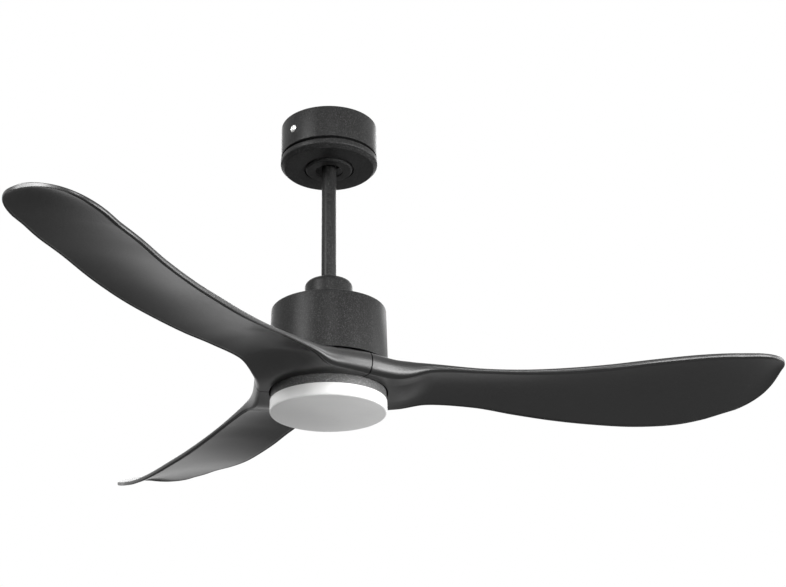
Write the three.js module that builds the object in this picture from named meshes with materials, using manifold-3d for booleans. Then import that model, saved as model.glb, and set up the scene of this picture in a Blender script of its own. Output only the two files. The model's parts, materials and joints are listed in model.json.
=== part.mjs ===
// Ceiling fan with light: a canopy and bracket on the ceiling, a ball-hung downrod, a motor
// housing, a three-bladed rotor and a round light. Millimetres, +Z up, origin on the ceiling.

import * as THREE from 'three';
import { LoftGeometry } from 'three/addons/geometries/LoftGeometry.js';
import { mergeVertices } from 'three/addons/utils/BufferGeometryUtils.js';
import Module from 'manifold-3d';

const wasm = await Module();
wasm.setup();

// ---- Driving dimensions -------------------------------------------------------------

const FIT = 0.3; // gap between pieces that seat on, or pass through, one another
const RUN = 0.6; // gap between pieces that turn past one another
const OVER = 1; // how far a cutting piece passes the face it cuts
const FINE = 40; // sides of the light's circles
const ROUND = 32; // sides of a large circle
const HALF_ROUND = 18; // sides of a circle the size of the rod
const SMALL = 12; // sides of a small circle
const TINY = 8; // sides of a screw

// Canopy and its collar
const CANOPY_UPPER_R = 75.2;
const CANOPY_BAND_STEP = 0.9; // the band below the groove stands this much proud
const CANOPY_H = 71.5;
const CANOPY_WALL = 2;
const CANOPY_EDGE_R = 6;
const GROOVE_LIFT = 15; // groove's lower edge above the canopy's floor
const GROOVE_W = 2.5;
const GROOVE_DEPTH = 1.2;
const COLLAR_R = 38.5;
const COLLAR_H = 3;
const COLLAR_SPIGOT_R = 33.7;
const COLLAR_HOLE_R = 21.3;
const COLLAR_WALL = 2;

// Ceiling bracket
const BRACKET_TURN = 43; // degrees, the bracket's long axis from +X
const BRACKET_W = 26;
const BRACKET_T = 2;
const EAR_DROP = 38;
const CANOPY_SCREW_DROP = 27;
const CANOPY_SCREW_R = 2.1;
const LEG_X = 27; // inner face of each cradle leg
const SEAT_DROP = 52; // cradle floor's top face below the ceiling
const SEAT_HOLE_R = 16;
const SEAT_DEPTH = 44;
const SLOT_X = 50;
const SLOT_W = 7;
const SLOT_LENGTH = 20;
const CANOPY_HEAD_R = 4;
const CANOPY_HEAD_H = 2.4;
const BLOCK_SIZE = [30, 16, 13]; // terminal block
const BLOCK_Y = -3;
const TAB_SIZE = [8, 7, 4.3]; // tab that the terminal screw holds
const WIRE_HOLE_R = 1.9;
const WIRE_PITCH = 5.5;
const TERMINAL_SCREW_R = 1.4;

// Hanger ball and downrod
const BALL_R = 21;
const BALL_TOP = 6; // flat top above the ball's centre
const ROD_R = 11.5;
const ROD_WALL = 2;
const ROD_PROUD = 2.5; // rod's end above the ball's flat top
const PIN_R = 3;
const PIN_INSET = 1.5; // cross pin's ends inside the ball

// Coupler between rod and motor, and the cover that hides it
const COUPLER_R = 16.5;
const COUPLER_H = 38;
const COUPLER_FLANGE_R = 28;
const COUPLER_FLANGE_T = 4;
const SHAFT_GRIP = 8; // shaft's length inside the coupler
const CLEVIS_LIFT = 24; // clevis pin above the housing's top
const CLEVIS_HEAD_R = 4.8;
const CLEVIS_HEAD_T = 2.5;
const CLEVIS_PROUD = 6; // plain end past the coupler
const CLIP_R = 6;
const CLIP_T = 1.2;
const SET_SCREW_LIFT = 15;
const SET_SCREW_R = 2.5;
const SET_HEAD_R = 4.7;
const SET_HEAD_T = 3;
const COVER_R = 36.3;
const COVER_H = 46.5;
const COVER_WALL = 1.6;
const COVER_EDGE_R = 6;
const COVER_HOLE_GAP = 0.7;

// Motor housing
const HOUSING_DROP = 313.2; // housing's top face below the ceiling
const HOUSING_TOP_R = 86.2;
const HOUSING_BOTTOM_R = 88;
const HOUSING_H = 91.8;
const HOUSING_WALL = 2;
const HOUSING_EDGE_R = 2.5;
const HOUSING_SCREW_CIRCLE = 22.3;
const HOUSING_SCREW_R = 2.2;

// Fixed shaft, stator and electronics
const SHAFT_R = 7.5;
const SHAFT_BORE_R = 5;
const SHAFT_FLANGE_T = 7.5;
const STATOR_R = 52;
const STATOR_HUB_R = 24;
const STATOR_H = 20;
const STATOR_LIFT = 33; // stator's lower face above the housing's rim
const TEETH = 9;
const TOOTH_W = 12;
const TOOTH_TIP_T = 5;
const TOOTH_TIP_TURN = 15; // degrees, half of a tooth tip
const COIL_T = 3.2;
const COIL_SIDE = 2.4;
const COIL_IN = 28;
const COIL_OUT = 44;
const BOARD_R = 70;
const BOARD_T = 1.6;
const CAPACITOR_R = 7;
const CAPACITOR_H = 7;
const CAPACITOR_X = 48;
const LEAD_R = 2.1;
const LEAD_GAP = 2; // lead's ends to what they are wired to

// Rotor
const AIR_GAP = 0.8;
const MAGNET_T = 5;
const MAGNET_OVERLAP = 2; // magnets beyond each face of the stator
const IRON_T = 3.2;
const PLATE_T = 4.7;
const COIL_CLEARANCE = 2;
const BEARING_R = 17.2;
const BEARING_H = 10;
const RACE_T = 3;
const SHIELD_T = 1;
const SEAT_WALL = 3.8;
const BEARING_LIP = 4.2;
const CAP_SKIRT = 0.5; // cap's seat below the upper bearing
const NECK_R = 26;
const CARRIER_R = 80;
const CARRIER_T = 5.8;

// Blades
const SWEEP_R = 668;
const FIRST_BLADE = 1.5; // degrees from +X
const BLADES = 3;
const LEAD_SPLIT = -56.5; // degrees from the blade's axis to its root joint
const HUB_GAP = 3.5;
const HUB_H = 35.5;
const HUB_R = 105; // hub's radius at the root joints
const ROOT_IN_R = 46;
const ROOT_PLATE_T = 7.5;
const SPLIT_GAP = 0.3;
const HUB_FLAT_R = 88; // hub is flat inside this radius
const HUB_BLEND_R = 160; // and has become blade outside this one
const POCKET_GAP = 2.6; // light pan to the pocket in the blade roots
const BLADE_SCREW_CIRCLE = 66;
const BLADE_SCREW_SPREAD = 30; // degrees either side of the root's middle
const BLADE_SCREW_R = 2.5;

// Light
const PAN_R = 84.9;
const PAN_H = 16;
const PAN_WALL = 1.5;
const PAN_RECESS = 3.5; // pan's top above the blade roots' underside
const PAN_BOSS_R = 4;
const PAN_BOSS_H = 5;
const PAN_BOSS_CIRCLE = 60;
const LEDGE_W = 1.6;
const NUT_R = 13;
const NUT_T = 4;
const COLLET_R = 11;
const COLLET_T = 4;
const LED_BOARD_R = 76;
const LED_COUNT = 12;
const LED_CIRCLE = 48;
const CHIP_SIZE = [5, 5, 1];
const LED_SCREW_R = 1.5;
const LED_HEAD_R = 2.8;
const LED_HEAD_H = 1.6;
const DRIVER_SIZE = [42, 34, 15];
const DRIVER_X = 38;
const DIFFUSER_R = 86;
const DIFFUSER_H = 24;
const DIFFUSER_WALL = 2;
const DIFFUSER_EDGE_R = 12;
const DIFFUSER_SAG = 1.2;
const SPIGOT_WALL = 1.4;
const SPIGOT_H = 6;
const LUG_T = 2;
const LUG_TURN = 14; // degrees
const LUG_RELEASE = 20; // degrees of twist that free the diffuser
const NOTCH_MARGIN = 2; // degrees of notch past each end of a lug
const LUGS = 3;

// ---- Levels and sizes that follow ---------------------------------------------------

const canopyBottom = -CANOPY_H;
const canopyR = CANOPY_UPPER_R + CANOPY_BAND_STEP;
const canopyInR = CANOPY_UPPER_R - CANOPY_WALL;
const canopyHoleR = COLLAR_SPIGOT_R + FIT;
const earX = Math.sqrt((canopyInR - FIT) ** 2 - (BRACKET_W / 2) ** 2);
const ballZ = Math.sqrt((BALL_R + FIT) ** 2 - SEAT_HOLE_R ** 2) - SEAT_DROP;
const rodTop = ballZ + BALL_TOP + ROD_PROUD;
const housingTop = -HOUSING_DROP;
const housingBottom = housingTop - HOUSING_H;
const couplerTop = housingTop + FIT + COUPLER_H;
const shaftTop = housingTop + FIT + SHAFT_GRIP;
const rodBottom = shaftTop + FIT;
const shaftFlangeTop = housingTop - HOUSING_WALL - FIT;
const shaftFlangeBottom = shaftFlangeTop - SHAFT_FLANGE_T;
const statorBottom = housingBottom + STATOR_LIFT;
const statorTop = statorBottom + STATOR_H;
const coilReach = COIL_T + FIT;
const rotorLow = statorBottom - coilReach - COIL_CLEARANCE;
const rotorHigh = statorTop + coilReach + COIL_CLEARANCE;
const magnetInR = STATOR_R + AIR_GAP;
const ironInR = magnetInR + MAGNET_T + FIT;
const ironOutR = ironInR + IRON_T;
const bearingSeatR = BEARING_R + FIT;
const hubTop = housingBottom - HUB_GAP;
const hubBottom = hubTop - HUB_H;
const carrierBottom = hubTop + FIT;
const panTop = hubBottom + PAN_RECESS;
const panBottom = panTop - PAN_H;
const panInR = PAN_R - PAN_WALL;
const ledBoardTop = panTop - PAN_WALL - PAN_BOSS_H - FIT;
const diffuserTop = panBottom - FIT;
const diffuserBottom = diffuserTop - DIFFUSER_H;
const lugOutR = panInR - FIT;
const ledgeInR = panInR - LEDGE_W;
const spigotOutR = ledgeInR - FIT;
const blockTop = -BRACKET_T - FIT;
const blockBottom = blockTop - BLOCK_SIZE[2];
const tabY = BLOCK_Y + (BLOCK_SIZE[1] + TAB_SIZE[1]) / 2;

// ---- Helpers ------------------------------------------------------------------------

const radians = THREE.MathUtils.degToRad;
const lerp = THREE.MathUtils.lerp;
const smooth = THREE.MathUtils.smoothstep;

/** Merge shared vertices, drop empty triangles and turn the faces outward. */
function closed(geometry) {
  const plain = new THREE.BufferGeometry().copy(geometry);
  plain.deleteAttribute('normal');
  plain.deleteAttribute('uv');
  const merged = mergeVertices(plain, 1e-3);
  const position = merged.attributes.position;
  const corners = [new THREE.Vector3(), new THREE.Vector3(), new THREE.Vector3()];
  const kept = [];
  let volume = 0;
  for (let i = 0; i < merged.index.count; i += 3) {
    const ids = [0, 1, 2].map((k) => merged.index.getX(i + k));
    if (new Set(ids).size < 3) continue;
    kept.push(...ids);
    ids.forEach((id, k) => corners[k].fromBufferAttribute(position, id));
    volume += corners[0].dot(corners[1].clone().cross(corners[2]));
  }
  if (volume < 0) kept.reverse();
  merged.setIndex(kept);
  return merged;
}

function toSolid(geometry) {
  const source = closed(geometry);
  const vertProperties = Float32Array.from(source.attributes.position.array);
  const triVerts = Uint32Array.from(source.index.array);
  return new wasm.Manifold(new wasm.Mesh({ numProp: 3, vertProperties, triVerts }));
}

function toGeometry(solid) {
  const { vertProperties, triVerts } = solid.getMesh();
  const geometry = new THREE.BufferGeometry();
  geometry.setAttribute('position', new THREE.BufferAttribute(vertProperties, 3));
  geometry.setIndex(new THREE.BufferAttribute(triVerts, 1));
  return geometry;
}

function join(...pieces) {
  return toGeometry(pieces.map(toSolid).reduce((sum, piece) => sum.add(piece)));
}

function cut(base, ...tools) {
  return toGeometry(tools.map(toSolid).reduce((rest, tool) => rest.subtract(tool), toSolid(base)));
}

/** Revolve [radius, height] points about Z; a profile off the axis closes on itself. */
function revolve(profile, segments = ROUND) {
  const points = profile.map(([r, z]) => new THREE.Vector2(r, z));
  const onAxis = profile[0][0] === 0 && profile[profile.length - 1][0] === 0;
  if (!onAxis) points.push(points[0].clone());
  return closed(new THREE.LatheGeometry(points, segments).rotateX(Math.PI / 2));
}

function ring(inR, outR, low, high, segments = ROUND) {
  return revolve([[inR, low], [outR, low], [outR, high], [inR, high]], segments);
}

function rod(radius, low, high, segments = SMALL) {
  return revolve([[0, low], [radius, low], [radius, high], [0, high]], segments);
}

/** Points of an arc in a profile, angles in degrees. */
function arc(r, z, radius, from, to, steps = 4) {
  return Array.from({ length: steps + 1 }, (_, i) => {
    const angle = radians(lerp(from, to, i / steps));
    return [r + radius * Math.cos(angle), z + radius * Math.sin(angle)];
  });
}

function box(width, depth, height, x = 0, y = 0, z = 0) {
  return new THREE.BoxGeometry(width, depth, height).translate(x, y, z);
}

/** Flat plate: a shape in the XY plane, from one height to another. */
function plate(shape, low, high, curveSegments = 8) {
  const options = { depth: high - low, bevelEnabled: false, curveSegments };
  return new THREE.ExtrudeGeometry(shape, options).translate(0, 0, low);
}

/** Turn something built about Z so that it lies along X, or points out along an angle. */
const alongX = (geometry) => geometry.rotateY(Math.PI / 2);
const alongY = (geometry) => geometry.rotateX(-Math.PI / 2);
const outward = (geometry, degrees, z) =>
  alongX(geometry).translate(0, 0, z).rotateZ(radians(degrees));

function around(count, make, first = 0) {
  return Array.from({ length: count }, (_, i) => make(first + (i * 360) / count, i + 1));
}

const onCircle = (radius, degrees) =>
  [radius * Math.cos(radians(degrees)), radius * Math.sin(radians(degrees))];

/** Sector of a ring between two angles. */
function sector(inR, outR, from, to, low, high) {
  const shape = new THREE.Shape();
  shape.absarc(0, 0, outR, radians(from), radians(to), false);
  shape.absarc(0, 0, inR, radians(to), radians(from), true);
  return plate(shape, low, high, 4);
}

/** Screw with a domed head whose seat is at height 0, shank downward. */
function screw(shankR, length, headR = shankR * 1.8, headH = shankR) {
  return revolve([
    [0, -length], [shankR, -length], [shankR, 0], [headR, 0],
    [headR, headH * 0.5], [headR * 0.7, headH], [0, headH],
  ], TINY);
}

const materials = {
  paint: { color: 0x474746, roughness: 0.55, metalness: 0.3 },
  blade: { color: 0x2f2f2f, roughness: 0.5, metalness: 0.0 },
  opal: { color: 0xf4f4f2, roughness: 0.35, metalness: 0.0 },
  steel: { color: 0xb9babb, roughness: 0.35, metalness: 0.9 },
  zinc: { color: 0xd8d9d6, roughness: 0.3, metalness: 0.9 },
  casting: { color: 0xa3a5a7, roughness: 0.5, metalness: 0.8 },
  lamination: { color: 0x6d6f73, roughness: 0.5, metalness: 0.7 },
  magnet: { color: 0x3a3b3e, roughness: 0.6, metalness: 0.4 },
  copper: { color: 0xb4623a, roughness: 0.4, metalness: 0.8 },
  nylon: { color: 0x1d1d1e, roughness: 0.6, metalness: 0.0 },
  cream: { color: 0xe6e2d6, roughness: 0.5, metalness: 0.0 },
  board: { color: 0x2c6b45, roughness: 0.5, metalness: 0.0 },
  whiteBoard: { color: 0xf0f0ec, roughness: 0.5, metalness: 0.1 },
  lead: { color: 0x2a2a2c, roughness: 0.7, metalness: 0.0 },
};

function add(group, name, geometry, material) {
  const mesh = new THREE.Mesh(geometry, new THREE.MeshStandardMaterial(materials[material]));
  mesh.name = name;
  group.add(mesh);
  return mesh;
}

// ---- Ceiling side -------------------------------------------------------------------

function slotShape(length, width) {
  const shape = new THREE.Shape();
  const straight = (length - width) / 2;
  shape.absarc(straight, 0, width / 2, -Math.PI / 2, Math.PI / 2, false);
  shape.absarc(-straight, 0, width / 2, Math.PI / 2, (3 * Math.PI) / 2, false);
  return shape;
}

/** Cradle floor: a plate with a round seat that is open on one side for the rod. */
function seatShape() {
  const halfX = LEG_X + BRACKET_T;
  const halfY = SEAT_DEPTH / 2;
  const throat = ROD_R + FIT * 3;
  const mouth = Math.asin(throat / SEAT_HOLE_R);
  const shape = new THREE.Shape();
  shape.moveTo(-halfX, halfY);
  shape.lineTo(-halfX, -halfY);
  shape.lineTo(halfX, -halfY);
  shape.lineTo(halfX, halfY);
  shape.lineTo(throat, halfY);
  shape.absarc(0, 0, SEAT_HOLE_R, Math.PI / 2 - mouth, Math.PI / 2 + mouth, true);
  shape.lineTo(-throat, halfY);
  shape.closePath();
  return shape;
}

function mountingBracket() {
  const legHeight = SEAT_DROP + BRACKET_T;
  const sides = [-1, 1];
  const pieces = [
    box(2 * earX, BRACKET_W, BRACKET_T, 0, 0, -BRACKET_T / 2),
    plate(seatShape(), -SEAT_DROP - BRACKET_T, -SEAT_DROP, ROUND),
    ...sides.map((side) =>
      box(BRACKET_T, BRACKET_W, EAR_DROP, side * (earX - BRACKET_T / 2), 0, -EAR_DROP / 2)),
    ...sides.map((side) =>
      box(BRACKET_T, BRACKET_W, legHeight, side * (LEG_X + BRACKET_T / 2), 0, -legHeight / 2)),
  ];
  const slots = sides.map((side) =>
    plate(slotShape(SLOT_LENGTH, SLOT_W), -BRACKET_T - OVER, OVER)
      .translate(side * SLOT_X, 0, 0));
  const screwHoles = sides.map((side) =>
    alongX(rod(CANOPY_SCREW_R + FIT, -BRACKET_T, BRACKET_T, TINY))
      .translate(side * (earX - BRACKET_T / 2), 0, -CANOPY_SCREW_DROP));
  const terminalHole = rod(TERMINAL_SCREW_R + FIT, -BRACKET_T - OVER, OVER, TINY);
  return cut(join(...pieces), ...slots, ...screwHoles, terminalHole.translate(0, tabY, 0));
}

function canopyShell() {
  const grooveLow = canopyBottom + GROOVE_LIFT;
  const grooveHigh = grooveLow + GROOVE_W;
  const floor = canopyBottom + CANOPY_WALL;
  const shell = revolve([
    [canopyInR, -FIT], [CANOPY_UPPER_R, -FIT], [CANOPY_UPPER_R, grooveHigh],
    [CANOPY_UPPER_R - GROOVE_DEPTH, grooveHigh], [CANOPY_UPPER_R - GROOVE_DEPTH, grooveLow],
    [canopyR, grooveLow],
    ...arc(canopyR - CANOPY_EDGE_R, canopyBottom + CANOPY_EDGE_R, CANOPY_EDGE_R, 0, -90, 3),
    [canopyHoleR, canopyBottom], [canopyHoleR, floor], [canopyInR, floor],
  ]);
  const holes = rod(CANOPY_SCREW_R + FIT, -canopyR - OVER, canopyR + OVER, TINY);
  return cut(shell, outward(holes, BRACKET_TURN, -CANOPY_SCREW_DROP));
}

function canopyCollar() {
  const top = canopyBottom - FIT;
  const bottom = top - COLLAR_H;
  const spigotTop = canopyBottom + CANOPY_WALL + COLLAR_H;
  const web = top - COLLAR_H / 4;
  const spigotIn = COLLAR_SPIGOT_R - COLLAR_WALL;
  const lipOut = COLLAR_HOLE_R + COLLAR_WALL;
  return revolve([
    [COLLAR_HOLE_R, bottom], ...arc(COLLAR_R - COLLAR_H, top, COLLAR_H, -90, 0, 3),
    [COLLAR_SPIGOT_R, top], [COLLAR_SPIGOT_R, spigotTop], [spigotIn, spigotTop],
    [spigotIn, web], [lipOut, web], [lipOut, top + COLLAR_H], [COLLAR_HOLE_R, top + COLLAR_H],
  ]);
}

function terminalBlock() {
  const [length, depth, height] = BLOCK_SIZE;
  const [tabWidth, tabDepth, tabHeight] = TAB_SIZE;
  const middle = (blockTop + blockBottom) / 2;
  const body = join(
    box(length, depth, height, 0, BLOCK_Y, middle),
    box(tabWidth, tabDepth + OVER, tabHeight, 0, tabY - OVER / 2, blockTop - tabHeight / 2),
  );
  const wires = [-2, -1, 1, 2].map((place) =>
    alongY(rod(WIRE_HOLE_R, -depth, depth, TINY)).translate(place * WIRE_PITCH, BLOCK_Y, middle));
  const screwHole = rod(TERMINAL_SCREW_R + FIT, blockBottom - OVER, blockTop + OVER, TINY);
  return cut(body, ...wires, screwHole.translate(0, tabY, 0));
}

const ceilingSide = new THREE.Group();
const bracketGroup = new THREE.Group();
bracketGroup.rotation.z = radians(BRACKET_TURN);
ceilingSide.add(bracketGroup);
add(bracketGroup, 'mounting_bracket', mountingBracket(), 'steel');
add(bracketGroup, 'terminal_block', terminalBlock(), 'cream');
const terminalScrew = add(bracketGroup, 'terminal_screw',
  screw(TERMINAL_SCREW_R, TAB_SIZE[2] + 2 * FIT + BRACKET_T), 'zinc');
terminalScrew.rotation.x = Math.PI;
terminalScrew.position.set(0, tabY, blockTop - TAB_SIZE[2] - FIT);
add(ceilingSide, 'canopy', canopyShell(), 'paint');
add(ceilingSide, 'canopy_collar', canopyCollar(), 'paint');
for (const [side, number] of [[0, 1], [180, 2]]) {
  const length = CANOPY_UPPER_R + FIT - earX + BRACKET_T;
  const fastener = screw(CANOPY_SCREW_R, length, CANOPY_HEAD_R, CANOPY_HEAD_H)
    .translate(0, 0, CANOPY_UPPER_R + FIT);
  add(bracketGroup, `canopy_screw_${number}`, outward(fastener, side, -CANOPY_SCREW_DROP), 'zinc');
}

// ---- Hanging side: ball, rod, coupler, housing --------------------------------------

const rodHoleR = ROD_R + FIT;

function hangerBall() {
  const lowEdge = -THREE.MathUtils.radToDeg(Math.acos((rodHoleR + 1.2) / BALL_R));
  const highEdge = THREE.MathUtils.radToDeg(Math.asin(BALL_TOP / BALL_R));
  const low = ballZ + BALL_R * Math.sin(radians(lowEdge));
  const ball = revolve([
    [rodHoleR, low], ...arc(0, ballZ, BALL_R, lowEdge, highEdge, 5), [rodHoleR, ballZ + BALL_TOP],
  ], HALF_ROUND);
  const pinHole = alongX(rod(PIN_R + FIT, -BALL_R, BALL_R, TINY)).translate(0, 0, ballZ);
  return cut(ball, pinHole);
}

function downrod() {
  const tube = ring(ROD_R - ROD_WALL, ROD_R, rodBottom, rodTop, HALF_ROUND);
  const pinHole = alongX(rod(PIN_R + FIT, -BALL_R, BALL_R, TINY));
  const clevisHole = pinHole.clone().translate(0, 0, housingTop + CLEVIS_LIFT);
  return cut(tube, pinHole.translate(0, 0, ballZ), clevisHole);
}

function rodCoupler() {
  const base = housingTop + FIT;
  const flangeTop = base + COUPLER_FLANGE_T;
  const body = revolve([
    [SHAFT_R + FIT, base], [COUPLER_FLANGE_R, base], [COUPLER_FLANGE_R, flangeTop],
    [COUPLER_R, flangeTop], [COUPLER_R, couplerTop], [rodHoleR, couplerTop],
    [rodHoleR, shaftTop], [SHAFT_R + FIT, shaftTop],
  ], HALF_ROUND);
  const clevisHole = alongX(rod(PIN_R + FIT, -COUPLER_R - OVER, COUPLER_R + OVER, TINY));
  const setScrewHole = alongY(rod(SET_SCREW_R + FIT, -COUPLER_R - OVER, 0, TINY));
  return cut(
    body,
    clevisHole.translate(0, 0, housingTop + CLEVIS_LIFT),
    setScrewHole.translate(0, 0, housingTop + SET_SCREW_LIFT),
    ...housingScrewHoles(base - OVER, flangeTop + OVER),
  );
}

function housingScrewHoles(low, high) {
  return around(3, (angle) =>
    rod(HOUSING_SCREW_R + FIT, low, high, TINY)
      .translate(...onCircle(HOUSING_SCREW_CIRCLE, angle + 30), 0));
}

function clevisPin() {
  const start = -COUPLER_R - FIT;
  const end = COUPLER_R + CLEVIS_PROUD;
  return alongX(revolve([
    [0, start - CLEVIS_HEAD_T], [CLEVIS_HEAD_R, start - CLEVIS_HEAD_T], [CLEVIS_HEAD_R, start],
    [PIN_R, start], [PIN_R, end], [0, end],
  ], SMALL)).translate(0, 0, housingTop + CLEVIS_LIFT);
}

function clevisClip() {
  const start = COUPLER_R + FIT;
  const clip = ring(PIN_R + FIT, CLIP_R, start, start + CLIP_T, SMALL);
  return alongX(clip).translate(0, 0, housingTop + CLEVIS_LIFT);
}

function setScrew() {
  const seat = -COUPLER_R - FIT;
  const shank = rod(SET_SCREW_R, seat - SET_HEAD_T / 2, -ROD_R - FIT, TINY);
  const head = rod(SET_HEAD_R, seat - SET_HEAD_T, seat, 6);
  return alongY(join(shank, head)).translate(0, 0, housingTop + SET_SCREW_LIFT);
}

function motorShaft() {
  const nutBottom = panTop - PAN_WALL - FIT - NUT_T;
  const colletLow = panTop + FIT;
  const shaft = revolve([
    [SHAFT_BORE_R, nutBottom], [SHAFT_R, nutBottom], [SHAFT_R, colletLow],
    [COLLET_R, colletLow], [COLLET_R, colletLow + COLLET_T], [SHAFT_R, colletLow + COLLET_T],
    [SHAFT_R, shaftFlangeBottom], [COUPLER_FLANGE_R, shaftFlangeBottom],
    [COUPLER_FLANGE_R, shaftFlangeTop], [SHAFT_R, shaftFlangeTop],
    [SHAFT_R, shaftTop - FIT], [SHAFT_BORE_R, shaftTop - FIT],
  ], HALF_ROUND);
  return cut(shaft, ...housingScrewHoles(shaftFlangeBottom - OVER, shaftFlangeTop + OVER));
}

function motorHousing() {
  const topIn = HOUSING_TOP_R - HOUSING_WALL;
  const bottomIn = HOUSING_BOTTOM_R - HOUSING_WALL;
  const edge = HOUSING_EDGE_R;
  const shell = revolve([
    [SHAFT_R + FIT, housingTop], ...arc(HOUSING_TOP_R - edge, housingTop - edge, edge, 90, 0, 3),
    [HOUSING_BOTTOM_R, housingBottom], [bottomIn, housingBottom],
    [topIn, housingTop - HOUSING_WALL], [SHAFT_R + FIT, housingTop - HOUSING_WALL],
  ]);
  return cut(shell, ...housingScrewHoles(housingTop - HOUSING_WALL - OVER, housingTop + OVER));
}

/** Stator core: a hub with one tooth per coil, each ending in a curved tip. */
function statorCore() {
  const shape = new THREE.Shape();
  const pitch = 360 / TEETH;
  const neck = (radius) => THREE.MathUtils.radToDeg(Math.asin(TOOTH_W / 2 / radius));
  const tipIn = STATOR_R - TOOTH_TIP_T;
  for (let tooth = 0; tooth < TEETH; tooth += 1) {
    const middle = tooth * pitch;
    const corners = [
      [STATOR_HUB_R, -neck(STATOR_HUB_R)], [tipIn, -neck(tipIn)], [tipIn, -TOOTH_TIP_TURN],
      [STATOR_R, -TOOTH_TIP_TURN], [STATOR_R, -TOOTH_TIP_TURN / 3],
      [STATOR_R, TOOTH_TIP_TURN / 3], [STATOR_R, TOOTH_TIP_TURN], [tipIn, TOOTH_TIP_TURN],
      [tipIn, neck(tipIn)], [STATOR_HUB_R, neck(STATOR_HUB_R)],
    ];
    for (const [radius, turn] of corners) {
      const [x, y] = onCircle(radius, middle + turn);
      if (tooth === 0 && radius === STATOR_HUB_R && turn < 0) shape.moveTo(x, y);
      else shape.lineTo(x, y);
    }
  }
  shape.closePath();
  const hole = new THREE.Path();
  hole.absarc(0, 0, SHAFT_R + FIT, 0, 2 * Math.PI, true);
  shape.holes.push(hole);
  return closed(plate(shape, statorBottom, statorTop, TINY));
}

/** One coil: a rectangular loop wound round a tooth. */
function coil(angle) {
  const halfIn = TOOTH_W / 2 + FIT;
  const highIn = STATOR_H / 2 + FIT;
  const rectangle = (Path, halfY, halfZ) => new Path([
    [-halfZ, -halfY], [halfZ, -halfY], [halfZ, halfY], [-halfZ, halfY],
  ].map(([x, y]) => new THREE.Vector2(x, y)));
  const shape = rectangle(THREE.Shape, halfIn + COIL_SIDE, highIn + COIL_T);
  shape.holes.push(rectangle(THREE.Path, halfIn, highIn));
  return closed(outward(plate(shape, COIL_IN, COIL_OUT), angle, (statorBottom + statorTop) / 2));
}

const hangingSide = new THREE.Group();
add(hangingSide, 'hanger_ball', hangerBall(), 'nylon');
const crossPin = alongX(rod(PIN_R, PIN_INSET - BALL_R, BALL_R - PIN_INSET)).translate(0, 0, ballZ);
add(hangingSide, 'ball_cross_pin', crossPin, 'zinc');
add(hangingSide, 'downrod', downrod(), 'paint');
add(hangingSide, 'rod_coupler', rodCoupler(), 'steel');
add(hangingSide, 'clevis_pin', clevisPin(), 'zinc');
add(hangingSide, 'clevis_clip', clevisClip(), 'zinc');
add(hangingSide, 'coupler_set_screw', setScrew(), 'zinc');
add(hangingSide, 'motor_shaft', motorShaft(), 'steel');
add(hangingSide, 'motor_housing', motorHousing(), 'paint');
around(3, (angle, number) => {
  const seat = housingTop + FIT + COUPLER_FLANGE_T + FIT;
  const geometry = screw(HOUSING_SCREW_R, seat - shaftFlangeBottom - FIT)
    .translate(...onCircle(HOUSING_SCREW_CIRCLE, angle + 30), seat);
  return add(hangingSide, `housing_screw_${number}`, geometry, 'zinc');
});
add(hangingSide, 'stator_core', statorCore(), 'lamination');
around(TEETH, (angle, number) => add(hangingSide, `winding_${number}`, coil(angle), 'copper'));

const boardTop = shaftFlangeBottom - FIT;
const controlBoard = ring(SHAFT_R + FIT, BOARD_R, boardTop - BOARD_T, boardTop, HALF_ROUND);
add(hangingSide, 'control_board', controlBoard, 'board');
const capacitor = rod(CAPACITOR_R, boardTop + FIT, boardTop + FIT + CAPACITOR_H);
add(hangingSide, 'board_capacitor', capacitor.translate(CAPACITOR_X, 0, 0), 'nylon');

/** Sheathed lead: past the two pins beside the rod's bore, then down the shaft's bore. */
function motorLead() {
  const besidePins = PIN_R + FIT + LEAD_R;
  const inShaft = SHAFT_BORE_R - FIT - LEAD_R;
  const route = [
    [besidePins, blockBottom - LEAD_GAP], [besidePins, housingTop + CLEVIS_LIFT - PIN_R - FIT],
    [inShaft, shaftTop], [inShaft, ledBoardTop + LEAD_GAP],
  ];
  const sections = route.map(([y, z]) => around(TINY, (angle) => {
    const [across, along] = onCircle(LEAD_R, -angle);
    return new THREE.Vector3(across, y + along, z);
  }));
  return closed(new LoftGeometry(sections, { capStart: true, capEnd: true }));
}

add(hangingSide, 'motor_lead', motorLead(), 'lead');

// ---- Bearings and rotor -------------------------------------------------------------

const LAST_SPLIT = LEAD_SPLIT + 360 / BLADES; // degrees to the root joint on the other side

const bladeScrewPlaces = (bladeAngle) => {
  const middle = bladeAngle + (LEAD_SPLIT + LAST_SPLIT) / 2;
  return [-1, 1].map((side) =>
    onCircle(BLADE_SCREW_CIRCLE, middle + side * BLADE_SCREW_SPREAD));
};

function bladeScrewHoles(low, high) {
  return around(BLADES, bladeScrewPlaces, FIRST_BLADE).flat()
    .map(([x, y]) => rod(BLADE_SCREW_R + FIT, low, high, TINY).translate(x, y, 0));
}

const upperBearingLow = rotorHigh - BEARING_H / 2;
const lowerBearingLow = rotorLow - BEARING_H;
const raceOutR = SHAFT_R + FIT + RACE_T;

const bearings = [['upper', upperBearingLow], ['lower', lowerBearingLow]];
const innerRace = (low) => ring(SHAFT_R + FIT, raceOutR, low, low + BEARING_H, HALF_ROUND);

/** Outer race with the two shields that close the bearing. */
function outerRace(low) {
  const high = low + BEARING_H;
  const shieldR = raceOutR + RUN;
  const trackR = BEARING_R - RACE_T;
  return revolve([
    [shieldR, low], [BEARING_R, low], [BEARING_R, high], [shieldR, high],
    [shieldR, high - SHIELD_T], [trackR, high - SHIELD_T], [trackR, low + SHIELD_T],
    [shieldR, low + SHIELD_T],
  ], HALF_ROUND);
}

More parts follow.
